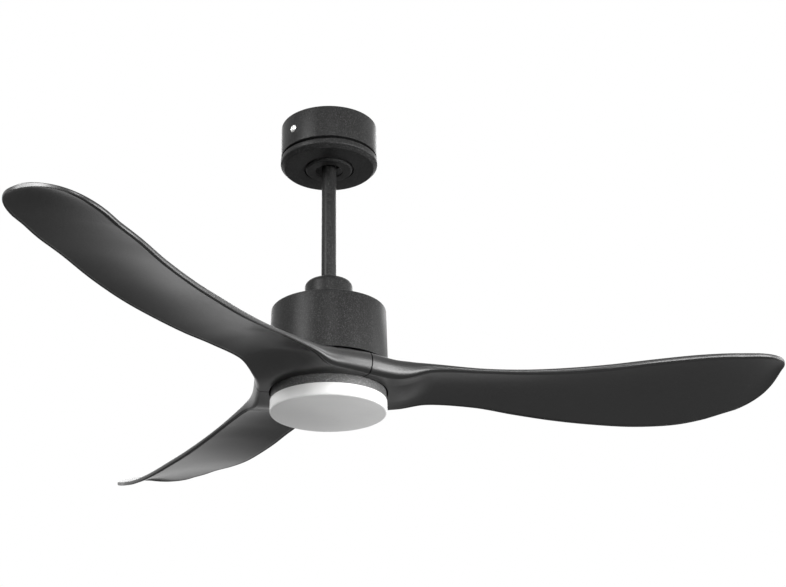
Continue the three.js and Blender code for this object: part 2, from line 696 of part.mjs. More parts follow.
/** Casting that carries the lower bearing above and the blades below. */
function rotorHub() {
  const lipLow = lowerBearingLow - FIT;
  const lipR = bearingSeatR - BEARING_LIP;
  const carrierTop = carrierBottom + CARRIER_T;
  const hub = revolve([
    [bearingSeatR, rotorLow], [bearingSeatR, lipLow], [lipR, lipLow], [lipR, carrierBottom],
    [CARRIER_R, carrierBottom], [CARRIER_R, carrierTop], [NECK_R + SEAT_WALL, carrierTop],
    [NECK_R, carrierTop + SEAT_WALL], [NECK_R, rotorLow - PLATE_T],
    [ironOutR, rotorLow - PLATE_T], [ironOutR, rotorLow],
  ]);
  return cut(hub, ...bladeScrewHoles(carrierBottom - OVER, carrierTop + OVER));
}

/** Upper cap of the rotor, with the seat of the upper bearing. */
function rotorCap() {
  const low = rotorHigh;
  const seatOut = bearingSeatR + SEAT_WALL;
  const seatLow = upperBearingLow - CAP_SKIRT;
  return revolve([
    [bearingSeatR, seatLow], [seatOut, seatLow], [seatOut, low],
    [ironOutR, low], [ironOutR, low + PLATE_T], [bearingSeatR, low + PLATE_T],
  ]);
}

const rotor = new THREE.Group();
for (const [place, low] of bearings) {
  add(hangingSide, `bearing_${place}_inner`, innerRace(low), 'steel');
  add(rotor, `bearing_${place}_outer`, outerRace(low), 'steel');
}
const magnetLow = statorBottom - MAGNET_OVERLAP;
const magnetHigh = statorTop + MAGNET_OVERLAP;
add(rotor, 'rotor_hub', rotorHub(), 'casting');
add(rotor, 'rotor_cap', rotorCap(), 'casting');
add(rotor, 'back_iron', ring(ironInR, ironOutR, rotorLow + FIT, rotorHigh - FIT), 'steel');
add(rotor, 'magnet_ring', ring(magnetInR, ironInR - FIT, magnetLow, magnetHigh), 'magnet');

// ---- Blades -------------------------------------------------------------------------
// Each blade is a loft. Its sections start as the edge of the root (down one root joint,
// round the bore and up the other joint) and straighten into plain chords further out.
// Heights are measured from the hub's underside.

const CHORD_X = 150; // radius where the sections have become straight
const TIP_X = 600; // radius where the rounded tip begins
const TIP_Y = -24.5;
const TIP_Z = 36;
const TIP_CURL = 2;
const TIP_LEAD_FULLNESS = 0.78; // below 1, a corner of the tip is fuller than an ellipse
const TIP_TRAIL_FULLNESS = 0.64;
const TIP_TRAIL_RISE = 1.15; // above 1, the trailing edge rises late
const TIP_THINNING = 0.6;

// Outline knots: radius, then y and underside height of the leading and trailing edges,
// edge thickness and extra thickness at mid-chord.
const OUTLINE = [
  { x: 105, lead: [-69, 3.5], trail: [72.5, -3], edge: 19.5, middle: 6 },
  { x: CHORD_X, lead: [-59.5, 11], trail: [63, 2.5], edge: 14.5, middle: 6 },
  { x: 220, lead: [-61, 11], trail: [60, -0.5], edge: 8, middle: 5 },
  { x: 280, lead: [-66.5, 8.5], trail: [63.5, -9.5], edge: 7.5, middle: 4 },
  { x: 340, lead: [-73, 9], trail: [68.5, -17.5], edge: 8, middle: 4 },
  { x: 400, lead: [-79.5, 12.5], trail: [72.5, -22], edge: 8, middle: 4 },
  { x: 460, lead: [-83.5, 19.5], trail: [75, -24], edge: 7.5, middle: 3 },
  { x: 520, lead: [-82.5, 27], trail: [75.5, -21], edge: 7.5, middle: 3 },
  { x: 565, lead: [-82, 31], trail: [74, -13], edge: 7, middle: 2 },
  { x: TIP_X, lead: [-77.5, 33.5], trail: [67, -4], edge: 7, middle: 2 },
];
const CAMBER = 3; // rise of the underside between its edges
const NOSE_REACH = 18; // longest run of the rounding under an edge
const NOSE_SCALE = 15; // thickness squared over this is the rounding's run

const alongSpan = (pick, first) => new THREE.SplineCurve([
  first, ...OUTLINE.map((knot) => new THREE.Vector2(...pick(knot))),
]);
const [leadX, leadY] = onCircle(HUB_R, LEAD_SPLIT);
const [trailX, trailY] = onCircle(HUB_R, LAST_SPLIT);
const curves = {
  lead: alongSpan((k) => [k.x, k.lead[0]], new THREE.Vector2(leadX, leadY)),
  trail: alongSpan((k) => [k.x, k.trail[0]], new THREE.Vector2(trailX, trailY)),
  heights: alongSpan((k) => [k.lead[1], k.trail[1]], new THREE.Vector2(0, 0)),
  thickness: alongSpan((k) => [k.edge, k.middle], new THREE.Vector2(HUB_H, 0)),
};
const KNOTS = OUTLINE.length; // spans between the joint's corner and the start of the tip
const CHORD_KNOT = 2;

/** Edge of the root in plan: along one joint, round the bore, along the other joint. */
function rootEdge(across) {
  const bend = 0.5;
  if (across < -bend) return onCircle(lerp(HUB_R, ROOT_IN_R, (across + 1) / bend), LEAD_SPLIT);
  if (across > bend) return onCircle(lerp(ROOT_IN_R, HUB_R, (across - bend) / bend), LAST_SPLIT);
  return onCircle(ROOT_IN_R, lerp(LEAD_SPLIT, LAST_SPLIT, (across + bend) / (2 * bend)));
}

/** Everything that describes the section at a place along the span, in knots or tip angle. */
function station(place, tip = 0) {
  const at = (curve) => curve.getPoint(Math.min(place / KNOTS, 1));
  const [lead, trail, heights, thickness] =
    [at(curves.lead), at(curves.trail), at(curves.heights), at(curves.thickness)];
  if (tip > 0) {
    const angle = radians(tip);
    const x = lerp(TIP_X, SWEEP_R, Math.sin(angle));
    lead.set(x, lerp(TIP_Y, lead.y, Math.cos(angle) ** TIP_LEAD_FULLNESS));
    trail.set(x, lerp(TIP_Y, trail.y, Math.cos(angle) ** TIP_TRAIL_FULLNESS));
    heights.x = lerp(TIP_Z, heights.x, Math.cos(angle)) + TIP_CURL * Math.sin(2 * angle);
    heights.y = lerp(heights.y, TIP_Z, (tip / 90) ** TIP_TRAIL_RISE);
    thickness.multiplyScalar(lerp(1, TIP_THINNING, tip / 90));
  }
  return { lead, trail, heights, thickness, place };
}

/** Plan position of a point of a section; across runs from -1 (leading) to 1 (trailing). */
function planPoint({ lead, trail, place }, across) {
  const half = (across + 1) / 2;
  if (place >= CHORD_KNOT) return [lerp(lead.x, trail.x, half), lerp(lead.y, trail.y, half)];
  const chord = station(CHORD_KNOT);
  const blend = place / CHORD_KNOT;
  const edge = across < 0 ? lead : trail;
  const chordEdge = across < 0 ? chord.lead : chord.trail;
  const end = rootEdge(Math.sign(across));
  const inner = rootEdge(across);
  const outer = [
    lerp(chord.lead.x, chord.trail.x, half), lerp(chord.lead.y, chord.trail.y, half),
  ];
  const pull = Math.abs(across) ** 3;
  return [0, 1].map((axis) => {
    const [endNow, edgeNow, chordNow] = [end[axis], edge.getComponent(axis),
      chordEdge.getComponent(axis)];
    const offset = across === 0 ? 0 : edgeNow - lerp(endNow, chordNow, blend);
    return lerp(inner[axis], outer[axis], blend) + offset * pull;
  });
}

/** Underside height and thickness at a plan position, flat and thick near the hub. */
function bladeHeights({ heights, thickness }, across, x, y) {
  const hub = 1 - smooth(Math.hypot(x, y), HUB_FLAT_R, HUB_BLEND_R);
  const bulge = 1 - across * across;
  const low = lerp(heights.x, heights.y, (across + 1) / 2) + CAMBER * bulge * (1 - hub);
  const high = low + thickness.x + thickness.y * bulge - CAMBER * bulge * 0.5;
  return { low: lerp(low, 0, hub), high: lerp(high, HUB_H, hub), hub };
}

/** Closed ring of points round one section: underside forward, upper side back. */
function bladeSection(where, acrossSteps = 2, noseSteps = 3) {
  const width = Math.hypot(where.lead.x - where.trail.x, where.lead.y - where.trail.y);
  const samples = (upper) => {
    const list = [];
    const noses = Array.from({ length: noseSteps + 1 }, (_, i) => (i / noseSteps) * 90);
    const addNose = (side, angle) => {
      const edgePlan = planPoint(where, side);
      const edge = bladeHeights(where, side, ...edgePlan);
      const depth = edge.high - edge.low;
      const drop = depth * (upper ? lerp(0.45, 0.2, edge.hub) : lerp(0.55, 0.68, edge.hub));
      const reach = upper ? Math.min(depth / 2, 6) : Math.min(depth ** 2 / NOSE_SCALE, NOSE_REACH);
      const inset = Math.min((2 * reach * (1 - Math.cos(radians(angle)))) / width, 0.3);
      const across = side * (1 - inset);
      const [x, y] = planPoint(where, across);
      const { low, high } = bladeHeights(where, across, x, y);
      const rounding = drop * (1 - Math.sin(radians(angle)));
      list.push(new THREE.Vector3(x, y, upper ? high - rounding : low + rounding));
    };
    const addMiddle = (across) => {
      const [x, y] = planPoint(where, across);
      const { low, high } = bladeHeights(where, across, x, y);
      list.push(new THREE.Vector3(x, y, upper ? high : low));
    };
    noses.forEach((angle) => addNose(-1, angle));
    for (let i = 1 - acrossSteps; i < acrossSteps; i += 1) addMiddle(i / acrossSteps);
    noses.reverse().forEach((angle) => addNose(1, angle));
    return list;
  };
  return { under: samples(false), over: samples(true).reverse() };
}

/** Section squeezed onto the line halfway up its edge, which closes the end of the loft. */
function squeezed({ under, over }) {
  const reversed = [...over].reverse();
  const middle = under.map((point, i) => point.clone().lerp(reversed[i], 0.5));
  return [...middle, ...[...middle].reverse()];
}

/** Whole blade before its root is trimmed. */
function bladeBody() {
  const places = [0, 0.3, 0.6, 0.9, 1.2, 1.6, 2, 2.4, 3];
  for (let place = 3.5; place <= KNOTS; place += 0.5) places.push(place);
  const stations = places.map((place) => bladeSection(station(place)));
  const tips = [15, 30, 45, 60, 75, 88].map((tip) => bladeSection(station(KNOTS, tip)));
  const all = [...stations, ...tips];
  const rings = all.map(({ under, over }) => [...under, ...over]);
  return new LoftGeometry([squeezed(all[0]), ...rings, squeezed(all[all.length - 1])]);
}

function blade(angle) {
  const pocketTop = hubTop - ROOT_PLATE_T;
  const body = bladeBody().translate(0, 0, hubBottom).rotateZ(radians(angle));
  const pocket = rod(PAN_R + POCKET_GAP, hubBottom - HUB_H, pocketTop, ROUND);
  const reach = 2 * HUB_R;
  const joints = [LEAD_SPLIT, LAST_SPLIT].map((split) =>
    box(reach, SPLIT_GAP, 3 * HUB_H, reach / 2, 0, (hubTop + hubBottom) / 2)
      .rotateZ(radians(angle + split)));
  return cut(body, pocket, ...joints, ...bladeScrewHoles(pocketTop - OVER, hubTop + OVER));
}

around(BLADES, (angle, number) => {
  add(rotor, `blade_${number}`, blade(angle), 'blade');
  const seat = hubTop - ROOT_PLATE_T - FIT;
  const length = ROOT_PLATE_T + 2 * FIT + CARRIER_T;
  bladeScrewPlaces(angle).forEach(([x, y], side) => {
    const name = `blade_screw_${2 * number - 1 + side}`;
    const fastener = screw(BLADE_SCREW_R, length).rotateX(Math.PI);
    add(rotor, name, fastener.translate(x, y, seat), 'zinc');
  });
}, FIRST_BLADE);

// ---- Light --------------------------------------------------------------------------

const lugSpan = (angle) => [angle - LUG_TURN / 2, angle + LUG_TURN / 2];
const ledScrewSeat = ledBoardTop - BOARD_T - FIT;

function ledScrewHoles(low, high) {
  return around(3, (angle) =>
    rod(LED_SCREW_R + FIT, low, high, TINY).translate(...onCircle(PAN_BOSS_CIRCLE, angle), 0));
}

/** Dish that closes the light from above, with three bosses and a notched ledge inside. */
function lightPan() {
  const floor = panTop - PAN_WALL;
  const ledgeTop = panBottom + PAN_WALL;
  const dish = revolve([
    [SHAFT_R + FIT, panTop], [PAN_R - 1, panTop], [PAN_R, panTop - 1], [PAN_R, panBottom],
    [ledgeInR, panBottom], [ledgeInR, ledgeTop], [panInR, ledgeTop], [panInR, floor],
    [SHAFT_R + FIT, floor],
  ], FINE);
  const bosses = around(3, (angle) =>
    rod(PAN_BOSS_R, floor - PAN_BOSS_H, floor + PAN_WALL / 3, TINY)
      .translate(...onCircle(PAN_BOSS_CIRCLE, angle), 0));
  const notches = around(LUGS, (angle) => {
    const [from, to] = lugSpan(angle + LUG_RELEASE);
    return sector(spigotOutR - OVER, panInR + FIT / 3, from - NOTCH_MARGIN, to + NOTCH_MARGIN,
      panBottom - OVER, ledgeTop + OVER);
  });
  return cut(join(dish, ...bosses), ...ledScrewHoles(ledBoardTop, floor - FIT), ...notches);
}

/** Round circuit board with its chips on the underside. */
function ledBoard() {
  const low = ledBoardTop - BOARD_T;
  const [chipX, chipY, chipZ] = CHIP_SIZE;
  const chips = around(LED_COUNT, (angle) =>
    box(chipX, chipY, chipZ + BOARD_T / 2, LED_CIRCLE, 0, low - chipZ / 2 + BOARD_T / 4)
      .rotateZ(radians(angle)), 180 / LED_COUNT);
  const disc = rod(LED_BOARD_R, low, ledBoardTop, ROUND);
  return cut(join(disc, ...chips), ...ledScrewHoles(low - OVER, ledBoardTop + OVER));
}

/** Opal bowl with a spigot and three lugs that turn behind the pan's ledge. */
function diffuser() {
  const edge = DIFFUSER_EDGE_R;
  const wall = DIFFUSER_WALL;
  const spigotIn = spigotOutR - SPIGOT_WALL;
  const spigotTop = diffuserTop + SPIGOT_H;
  const lugLow = panBottom + PAN_WALL + FIT;
  const corner = [DIFFUSER_R - edge, diffuserBottom + edge + DIFFUSER_SAG];
  const middle = [DIFFUSER_R / 2, diffuserBottom + DIFFUSER_SAG / 4];
  const bowl = revolve([
    [0, diffuserBottom + wall], [middle[0], middle[1] + wall],
    ...arc(...corner, edge - wall, -86, 0, 3), [DIFFUSER_R - wall, diffuserTop - wall],
    [spigotIn, diffuserTop - wall], [spigotIn, spigotTop], [spigotOutR, spigotTop],
    [spigotOutR, diffuserTop], [DIFFUSER_R, diffuserTop],
    ...arc(...corner, edge, 0, -86, 4), middle, [0, diffuserBottom],
  ], FINE);
  const lugs = around(LUGS, (angle) =>
    sector(spigotOutR - SPIGOT_WALL / 2, lugOutR, ...lugSpan(angle), lugLow, lugLow + LUG_T));
  return join(bowl, ...lugs);
}

add(hangingSide, 'light_pan', lightPan(), 'paint');
const nutTop = panTop - PAN_WALL - FIT;
const nutHole = rod(SHAFT_R + FIT, nutTop - NUT_T - OVER, nutTop + OVER, SMALL);
add(hangingSide, 'pan_nut', cut(rod(NUT_R, nutTop - NUT_T, nutTop, 6), nutHole), 'zinc');
const driverMiddle = panTop + FIT + DRIVER_SIZE[2] / 2;
add(hangingSide, 'led_driver', box(...DRIVER_SIZE, DRIVER_X, 0, driverMiddle), 'cream');
add(hangingSide, 'led_board', ledBoard(), 'whiteBoard');
around(3, (angle, number) => add(hangingSide, `led_screw_${number}`,
  screw(LED_SCREW_R, PAN_BOSS_H + BOARD_T, LED_HEAD_R, LED_HEAD_H).rotateX(Math.PI)
    .translate(...onCircle(PAN_BOSS_CIRCLE, angle), ledScrewSeat), 'zinc'));
const diffuserGroup = new THREE.Group();
add(diffuserGroup, 'diffuser', diffuser(), 'opal');

// ---- Coupling cover -----------------------------------------------------------------

function couplingCover() {
  const low = housingTop + FIT;
  const high = low + COVER_H;
  const holeR = ROD_R + COVER_HOLE_GAP;
  const edge = COVER_EDGE_R;
  const inner = COVER_R - COVER_WALL;
  return revolve([
    [COVER_R, low], ...arc(COVER_R - edge, high - edge, edge, 0, 90, 4), [holeR, high],
    [holeR, high - COVER_WALL],
    ...arc(COVER_R - edge, high - edge, edge - COVER_WALL, 90, 0, 3), [inner, low],
  ]);
}

const coverGroup = new THREE.Group();
add(coverGroup, 'coupling_cover', couplingCover(), 'paint');

const fan = new THREE.Group();
fan.add(ceilingSide, hangingSide, rotor, coverGroup, diffuserGroup);

export default fan;
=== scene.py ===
"""Finished surfaces of a ceiling fan with light, in metres, in the frame of its solids."""
import json
import math

import bmesh
import bpy
import numpy as np
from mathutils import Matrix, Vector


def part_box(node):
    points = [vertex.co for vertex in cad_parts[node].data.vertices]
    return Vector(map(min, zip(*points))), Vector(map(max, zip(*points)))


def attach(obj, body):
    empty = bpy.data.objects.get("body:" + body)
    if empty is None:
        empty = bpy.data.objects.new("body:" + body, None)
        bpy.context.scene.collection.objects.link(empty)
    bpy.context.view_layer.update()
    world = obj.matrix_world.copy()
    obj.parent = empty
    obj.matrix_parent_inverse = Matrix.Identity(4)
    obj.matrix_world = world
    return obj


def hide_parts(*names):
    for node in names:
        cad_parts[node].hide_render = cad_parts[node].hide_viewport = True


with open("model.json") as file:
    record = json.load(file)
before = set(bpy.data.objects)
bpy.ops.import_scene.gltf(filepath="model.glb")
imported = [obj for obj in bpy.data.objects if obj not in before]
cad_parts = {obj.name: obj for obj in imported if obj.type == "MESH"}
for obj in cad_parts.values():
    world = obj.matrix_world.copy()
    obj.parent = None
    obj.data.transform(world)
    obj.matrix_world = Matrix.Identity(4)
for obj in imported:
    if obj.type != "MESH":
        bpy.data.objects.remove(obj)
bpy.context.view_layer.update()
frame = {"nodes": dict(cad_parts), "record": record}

MM = 0.001
SCENE = bpy.context.scene

# ---- Camera and lamps -----------------------------------------------------------------

SENSOR_WIDTH = 36.0
FOCAL_LENGTH = 65.028
CAMERA_PLACE = (0.0103, -1.9662, -1.1431)
CAMERA_PITCH = 23.61
CAMERA_SHIFT = 0.0731
CAMERA_REACH = 60.0
FAN_MIDDLE = (0.0, 0.0, -0.36)
# place, width and height in metres, power in watts
LAMPS = {
    "lamp_key": ((-2.2, -2.6, 1.1), 1.3, 1.7, 28),
    "lamp_left": ((-2.4, -1.8, 0.75), 1.0, 1.0, 72),
    "lamp_front": ((2.0, -2.5, 0.3), 1.0, 1.2, 12),
    "lamp_right": ((2.6, -1.6, 0.05), 1.4, 0.9, 44),
    "lamp_middle": ((0.2, -3.0, 0.75), 0.9, 0.6, 30),
    "lamp_side": ((3.0, 0.4, 0.45), 1.6, 0.5, 18),
    "lamp_low": ((2.0, -2.1, -0.95), 2.6, 0.9, 118),
    "lamp_low_side": ((2.9, 0.1, -0.8), 1.8, 0.6, 42),
    "lamp_back": ((0.4, 3.2, 1.6), 4.0, 0.8, 40),
    "lamp_back_low": ((0.0, 3.4, -1.25), 1.6, 0.8, 0.7),
}


def make_camera():
    """Camera that looks up at the fan, shifted sideways without a turn."""
    data = bpy.data.cameras.new("camera")
    data.sensor_width = SENSOR_WIDTH
    data.lens = FOCAL_LENGTH
    data.shift_x = CAMERA_SHIFT
    data.clip_end = CAMERA_REACH
    camera = bpy.data.objects.new("camera", data)
    camera.location = CAMERA_PLACE
    camera.rotation_euler = (math.radians(90 + CAMERA_PITCH), 0, 0)
    SCENE.collection.objects.link(camera)
    SCENE.camera = camera


def soft_box(name, place, width, height, power):
    """Rectangular lamp that points at the fan's middle and that the camera doesn't see."""
    data = bpy.data.lights.new(name, "AREA")
    data.shape = "RECTANGLE"
    data.size, data.size_y, data.energy = width, height, power
    lamp = bpy.data.objects.new(name, data)
    lamp.location = place
    direction = np.array(FAN_MIDDLE) - np.array(place)
    azimuth = math.atan2(direction[1], direction[0])
    drop = math.atan2(-direction[2], math.hypot(direction[0], direction[1]))
    lamp.rotation_euler = (math.pi / 2 - drop, 0, azimuth - math.pi / 2)
    lamp.visible_camera = False
    SCENE.collection.objects.link(lamp)


make_camera()
for lamp_name, lamp in LAMPS.items():
    soft_box(lamp_name, *lamp)

# ---- Shader maths ---------------------------------------------------------------------

# Nearly all of a noise lies between these values.
NOISE_LOW, NOISE_HIGH = 0.3, 0.7


class Value:
    """A number, colour or vector socket; adding or multiplying it adds a Math node."""

    def __init__(self, finish, socket):
        self.finish, self.socket = finish, socket

    def __add__(self, other):
        return self.finish.maths("ADD", self, other)

    def __mul__(self, other):
        return self.finish.maths("MULTIPLY", self, other)


class Finish:
    """One procedural material, built on a Principled shader and Object coordinates."""

    def __init__(self, name, **constants):
        self.material = bpy.data.materials.new(name)
        self.material.use_nodes = True
        self.nodes = self.material.node_tree.nodes
        self.links = self.material.node_tree.links
        self.nodes.clear()
        self.shader = self.nodes.new("ShaderNodeBsdfPrincipled")
        output = self.nodes.new("ShaderNodeOutputMaterial")
        self.links.new(self.shader.outputs[0], output.inputs["Surface"])
        for socket, value in constants.items():
            self.shader.inputs[socket.replace("_", " ")].default_value = value
        self.place = self.node("TexCoord", {}, out="Object")

    def node(self, kind, settings, *values, out=0, **named):
        """Output of a new node, whose inputs take values in order or by name."""
        made = self.nodes.new("ShaderNode" + kind)
        for key, value in settings.items():
            setattr(made, key, value)
        sockets = [(made.inputs[i], v) for i, v in enumerate(values)]
        sockets += [(made.inputs[key.replace("_", " ")], v) for key, v in named.items()]
        for socket, value in sockets:
            if isinstance(value, Value):
                self.links.new(value.socket, socket)
            else:
                socket.default_value = value
        return Value(self, made.outputs[out])

    def maths(self, operation, first, second):
        return self.node("Math", {"operation": operation}, first, second)

    def noise(self, scale, detail=2.0, roughness=0.5, place=None):
        return self.node("TexNoise", {}, Vector=place or self.place, Scale=scale,
                         Detail=detail, Roughness=roughness)

    def cells(self, scale):
        """Distance to the nearest of a cloud of random points."""
        return self.node("TexVoronoi", {"feature": "F1"}, Vector=self.place, Scale=scale)

    def stretched(self, x, y, z):
        """Coordinates scaled by a different amount along each axis."""
        return self.node("Mapping", {}, Vector=self.place, Scale=(x, y, z))

    def span(self, value, low, high, to_low=0.0, to_high=1.0):
        """Value carried from one range to another and kept inside it."""
        return self.node("MapRange", {"clamp": True}, value, low, high, to_low, to_high)

    def blend(self, factor, first, second):
        """Colour between two colours."""
        made = self.nodes.new("ShaderNodeMix")
        made.data_type = "RGBA"
        for index, value in ((0, factor), (6, first), (7, second)):
            if isinstance(value, Value):
                self.links.new(value.socket, made.inputs[index])
            else:
                made.inputs[index].default_value = value
        return Value(self, made.outputs[2])

    def height(self, value, strength, distance):
        """Bump from a height, into the shader's normal."""
        bump = self.node("Bump", {}, Strength=strength, Distance=distance, Height=value)
        self.feed("Normal", bump)

    def roughness(self, noise, low, high):
        """Roughness that a noise carries from one value to another."""
        self.feed("Roughness", self.span(noise, NOISE_LOW, NOISE_HIGH, low, high))

    def feed(self, socket, value):
        self.links.new(value.socket, self.shader.inputs[socket])


def grey(level):
    return (level, level, level, 1.0)


def powder_coat(name, level, fleck, roughness, specular):
    """Dark-grey baked paint: fine orange-peel bumps with lighter flecks."""
    finish = Finish(name, Metallic=0.0, Specular_IOR_Level=specular)
    flecks = finish.span(finish.noise(scale=760, roughness=0.6), 0.5, 0.72)
    grain = finish.noise(scale=2300, detail=1)
    cloud = finish.noise(scale=9)
    shade = finish.span(cloud, NOISE_LOW, NOISE_HIGH, 0.0, 0.3) + grain * 0.35
    base = finish.blend(shade, grey(level * 0.82), grey(level * 1.2))
    finish.feed("Base Color", finish.blend(flecks * 0.75, base, grey(fleck)))
    finish.roughness(grain, roughness - 0.06, roughness + 0.08)
    finish.height(grain * 0.7 + flecks * 0.6, strength=0.34, distance=0.0002)
    return finish.material


def moulded_plastic(name, level, roughness, specular=0.4):
    """Matte moulded plastic: faint flow clouds and a fine spark texture."""
    finish = Finish(name, Specular_IOR_Level=specular)
    cloud = finish.noise(scale=5, detail=3)
    grain = finish.noise(scale=1500)
    finish.feed("Base Color", finish.blend(finish.span(cloud + grain * 0.35, 0.4, 0.95),
                                           grey(level * 0.85), grey(level * 1.2)))
    finish.roughness(grain, roughness - 0.05, roughness + 0.06)
    finish.height(grain, strength=0.05, distance=0.00015)
    return finish.material


def opal_plastic(name, darker, lighter, glow, specular):
    """Milky diffuser: white with a faint cloud and a satin skin. Its weak white emission is a
    painted glow, standing in for light passing through the milky plastic.
    """
    finish = Finish(name, Specular_IOR_Level=specular, Emission_Color=(1, 1, 1, 1),
                    Emission_Strength=glow)
    cloud = finish.noise(scale=14)
    grain = finish.noise(scale=1800, detail=1)
    finish.feed("Base Color", finish.blend(finish.span(cloud, 0.35, 0.65), darker + (1,),
                                           lighter + (1,)))
    finish.roughness(grain, 0.26, 0.34)
    finish.height(grain, strength=0.04, distance=0.0001)
    return finish.material


def bare_metal(name, colour, roughness, brush=(1, 1, 30), metallic=1.0):
    """Metal with a direction in its grain and slightly uneven tarnish."""
    finish = Finish(name, Metallic=metallic)
    lines = finish.noise(scale=60, detail=3, roughness=0.6, place=finish.stretched(*brush))
    tarnish = finish.noise(scale=35, detail=3)
    dark = tuple(0.72 * c for c in colour) + (1,)
    finish.feed("Base Color", finish.blend(finish.span(tarnish, NOISE_LOW, 0.75),
                                           colour + (1,), dark))
    finish.roughness(lines, roughness - 0.08, roughness + 0.1)
    finish.height(lines, strength=0.08, distance=0.0001)
    return finish.material


def cast_metal(name, colour, roughness, metallic=0.9):
    """As-cast metal: sandy skin with shallow pits."""
    finish = Finish(name, Metallic=metallic)
    sand = finish.noise(scale=900, detail=3)
    pits = finish.span(finish.cells(scale=420), 0.0, 0.25)
    dark = tuple(0.6 * c for c in colour) + (1,)
    finish.feed("Base Color", finish.blend(pits, dark, colour + (1,)))
    finish.roughness(sand, roughness - 0.07, roughness + 0.1)
    finish.height(sand + pits * 0.5, strength=0.25, distance=0.0003)
    return finish.material


def layered(name, colour, dark, per_metre, metallic, roughness, along=(0, 0, 1)):
    """Stacked sheets or wound wire: thin parallel lines across one direction."""
    finish = Finish(name, Metallic=metallic)
    wave = finish.node("TexWave", {"wave_type": "BANDS", "bands_direction": "DIAGONAL"},
                       Vector=finish.stretched(*along), Scale=per_metre, Distortion=0.3,
                       Detail=1.0)
    line = finish.span(wave, 0.1, 0.6)
    finish.feed("Base Color", finish.blend(line, dark + (1,), colour + (1,)))
    finish.roughness(finish.noise(scale=700), roughness, roughness + 0.15)
    finish.height(line, strength=0.5, distance=0.0003)
    return finish.material


def circuit_board(name, colour, track):
    """Solder mask with raised tracks under it."""
    finish = Finish(name, Specular_IOR_Level=0.5, Coat_Weight=0.2)
    lanes = finish.node("TexBrick", {"offset": 0.5}, Vector=finish.place, Scale=120.0,
                        Mortar_Size=0.012)
    mask = finish.maths("GREATER_THAN", lanes, 0.5)
    finish.feed("Base Color", finish.blend(mask, colour + (1,), track + (1,)))
    finish.roughness(finish.noise(scale=500), 0.3, 0.42)
    finish.height(mask, strength=0.2, distance=0.0001)
    return finish.material


RECIPES = {
    "dark_paint": (powder_coat, dict(level=0.008, fleck=0.055, roughness=0.38, specular=0.12)),
    # Lighter copy of dark_paint: painted light, standing in for light from the diffuser and
    # nearby surfaces falling on the pan's ring
    "pan_paint": (powder_coat, dict(level=0.06, fleck=0.25, roughness=0.46, specular=0.35)),
    "blade_black": (moulded_plastic, dict(level=0.007, roughness=0.3, specular=0.5)),
    # glow: painted glow, an emission standing in for light passing through the opal plastic
    "opal_white": (opal_plastic, dict(darker=(0.55, 0.55, 0.545), lighter=(0.59, 0.59, 0.585),
                                      glow=0.09, specular=0.28)),
    "steel": (bare_metal, dict(colour=(0.27, 0.27, 0.28), roughness=0.42)),
    "zinc": (bare_metal, dict(colour=(0.90, 0.90, 0.89), roughness=0.3, brush=(8, 8, 8),
                              metallic=0.85)),
    # Castings near-black: painted shade, so the rotor hub seen through the slit under the
    # housing looks as dark as that shadowed slit
    "casting": (cast_metal, dict(colour=(0.05, 0.05, 0.052), roughness=0.55, metallic=0.4)),
    "lamination": (layered, dict(colour=(0.30, 0.30, 0.31), dark=(0.08, 0.08, 0.08),
                                 per_metre=400, metallic=0.8, roughness=0.4)),
    "magnet": (cast_metal, dict(colour=(0.12, 0.12, 0.13), roughness=0.6)),
    "copper": (layered, dict(colour=(0.62, 0.25, 0.10), dark=(0.20, 0.06, 0.02),
                             per_metre=260, metallic=0.9, roughness=0.3, along=(1, 1, 0.2))),
    "nylon_black": (moulded_plastic, dict(level=0.004, roughness=0.6, specular=0.1)),
    "cream_plastic": (moulded_plastic, dict(level=0.62, roughness=0.45, specular=0.5)),
    "board_green": (circuit_board, dict(colour=(0.02, 0.16, 0.06), track=(0.05, 0.26, 0.10))),
    "board_white": (circuit_board, dict(colour=(0.78, 0.78, 0.74), track=(0.66, 0.66, 0.60))),
    "sheath": (moulded_plastic, dict(level=0.03, roughness=0.6)),
}
MATERIALS = {slot: make(slot, **settings) for slot, (make, settings) in RECIPES.items()}

# ---- Surfaces -------------------------------------------------------------------------

WELD_DISTANCE, LEAST_EDGE = 2e-6, 1e-7
# A corner straighter than this isn't rounded; a rounding takes up to this share of a side.
STRAIGHT, SIDE_SHARE = math.radians(89), 0.49


def grid_faces(rows, columns, wrap_rows=False, wrap_columns=False):
    """Quads of a grid of points, which may close on itself along either direction."""
    row = np.arange(rows if wrap_rows else rows - 1)
    column = np.arange(columns if wrap_columns else columns - 1)
    row, column = np.meshgrid(row, column, indexing="ij")
    next_row, next_column = (row + 1) % rows, (column + 1) % columns
    corners = [row * columns + column, row * columns + next_column,
               next_row * columns + next_column, next_row * columns + column]
    return np.stack(corners, -1).reshape(-1, 4)


def build_mesh(name, parts):
    """Mesh from (points, quads) parts, with its faces turned outward.

    They face outward when the signed volumes between the origin and each quad, taken as
    two triangles, add up to more than nothing.
    """
    points, faces, start = [], [], 0
    for vertices, quads in parts:
        flat = vertices.reshape(-1, 3)
        points.append(flat)
        faces.append(quads + start)
        start += len(flat)
    points, faces = np.vstack(points), np.vstack(faces)
    first, second, third, fourth = (points[faces[:, corner]] for corner in range(4))
    volume = (np.cross(first, second) * third).sum() + (np.cross(first, third) * fourth).sum()
    if volume < 0:
        faces = faces[:, ::-1]
    mesh = bpy.data.meshes.new(name)
    mesh.vertices.add(len(points))
    mesh.vertices.foreach_set("co", points.astype(np.float32).ravel())
    mesh.loops.add(faces.size)
    mesh.loops.foreach_set("vertex_index", faces.astype(np.int32).ravel())
    mesh.polygons.add(len(faces))
    mesh.polygons.foreach_set("loop_start", np.arange(0, faces.size, 4, dtype=np.int32))
    mesh.update(calc_edges=True)
    mesh.validate()
    return mesh


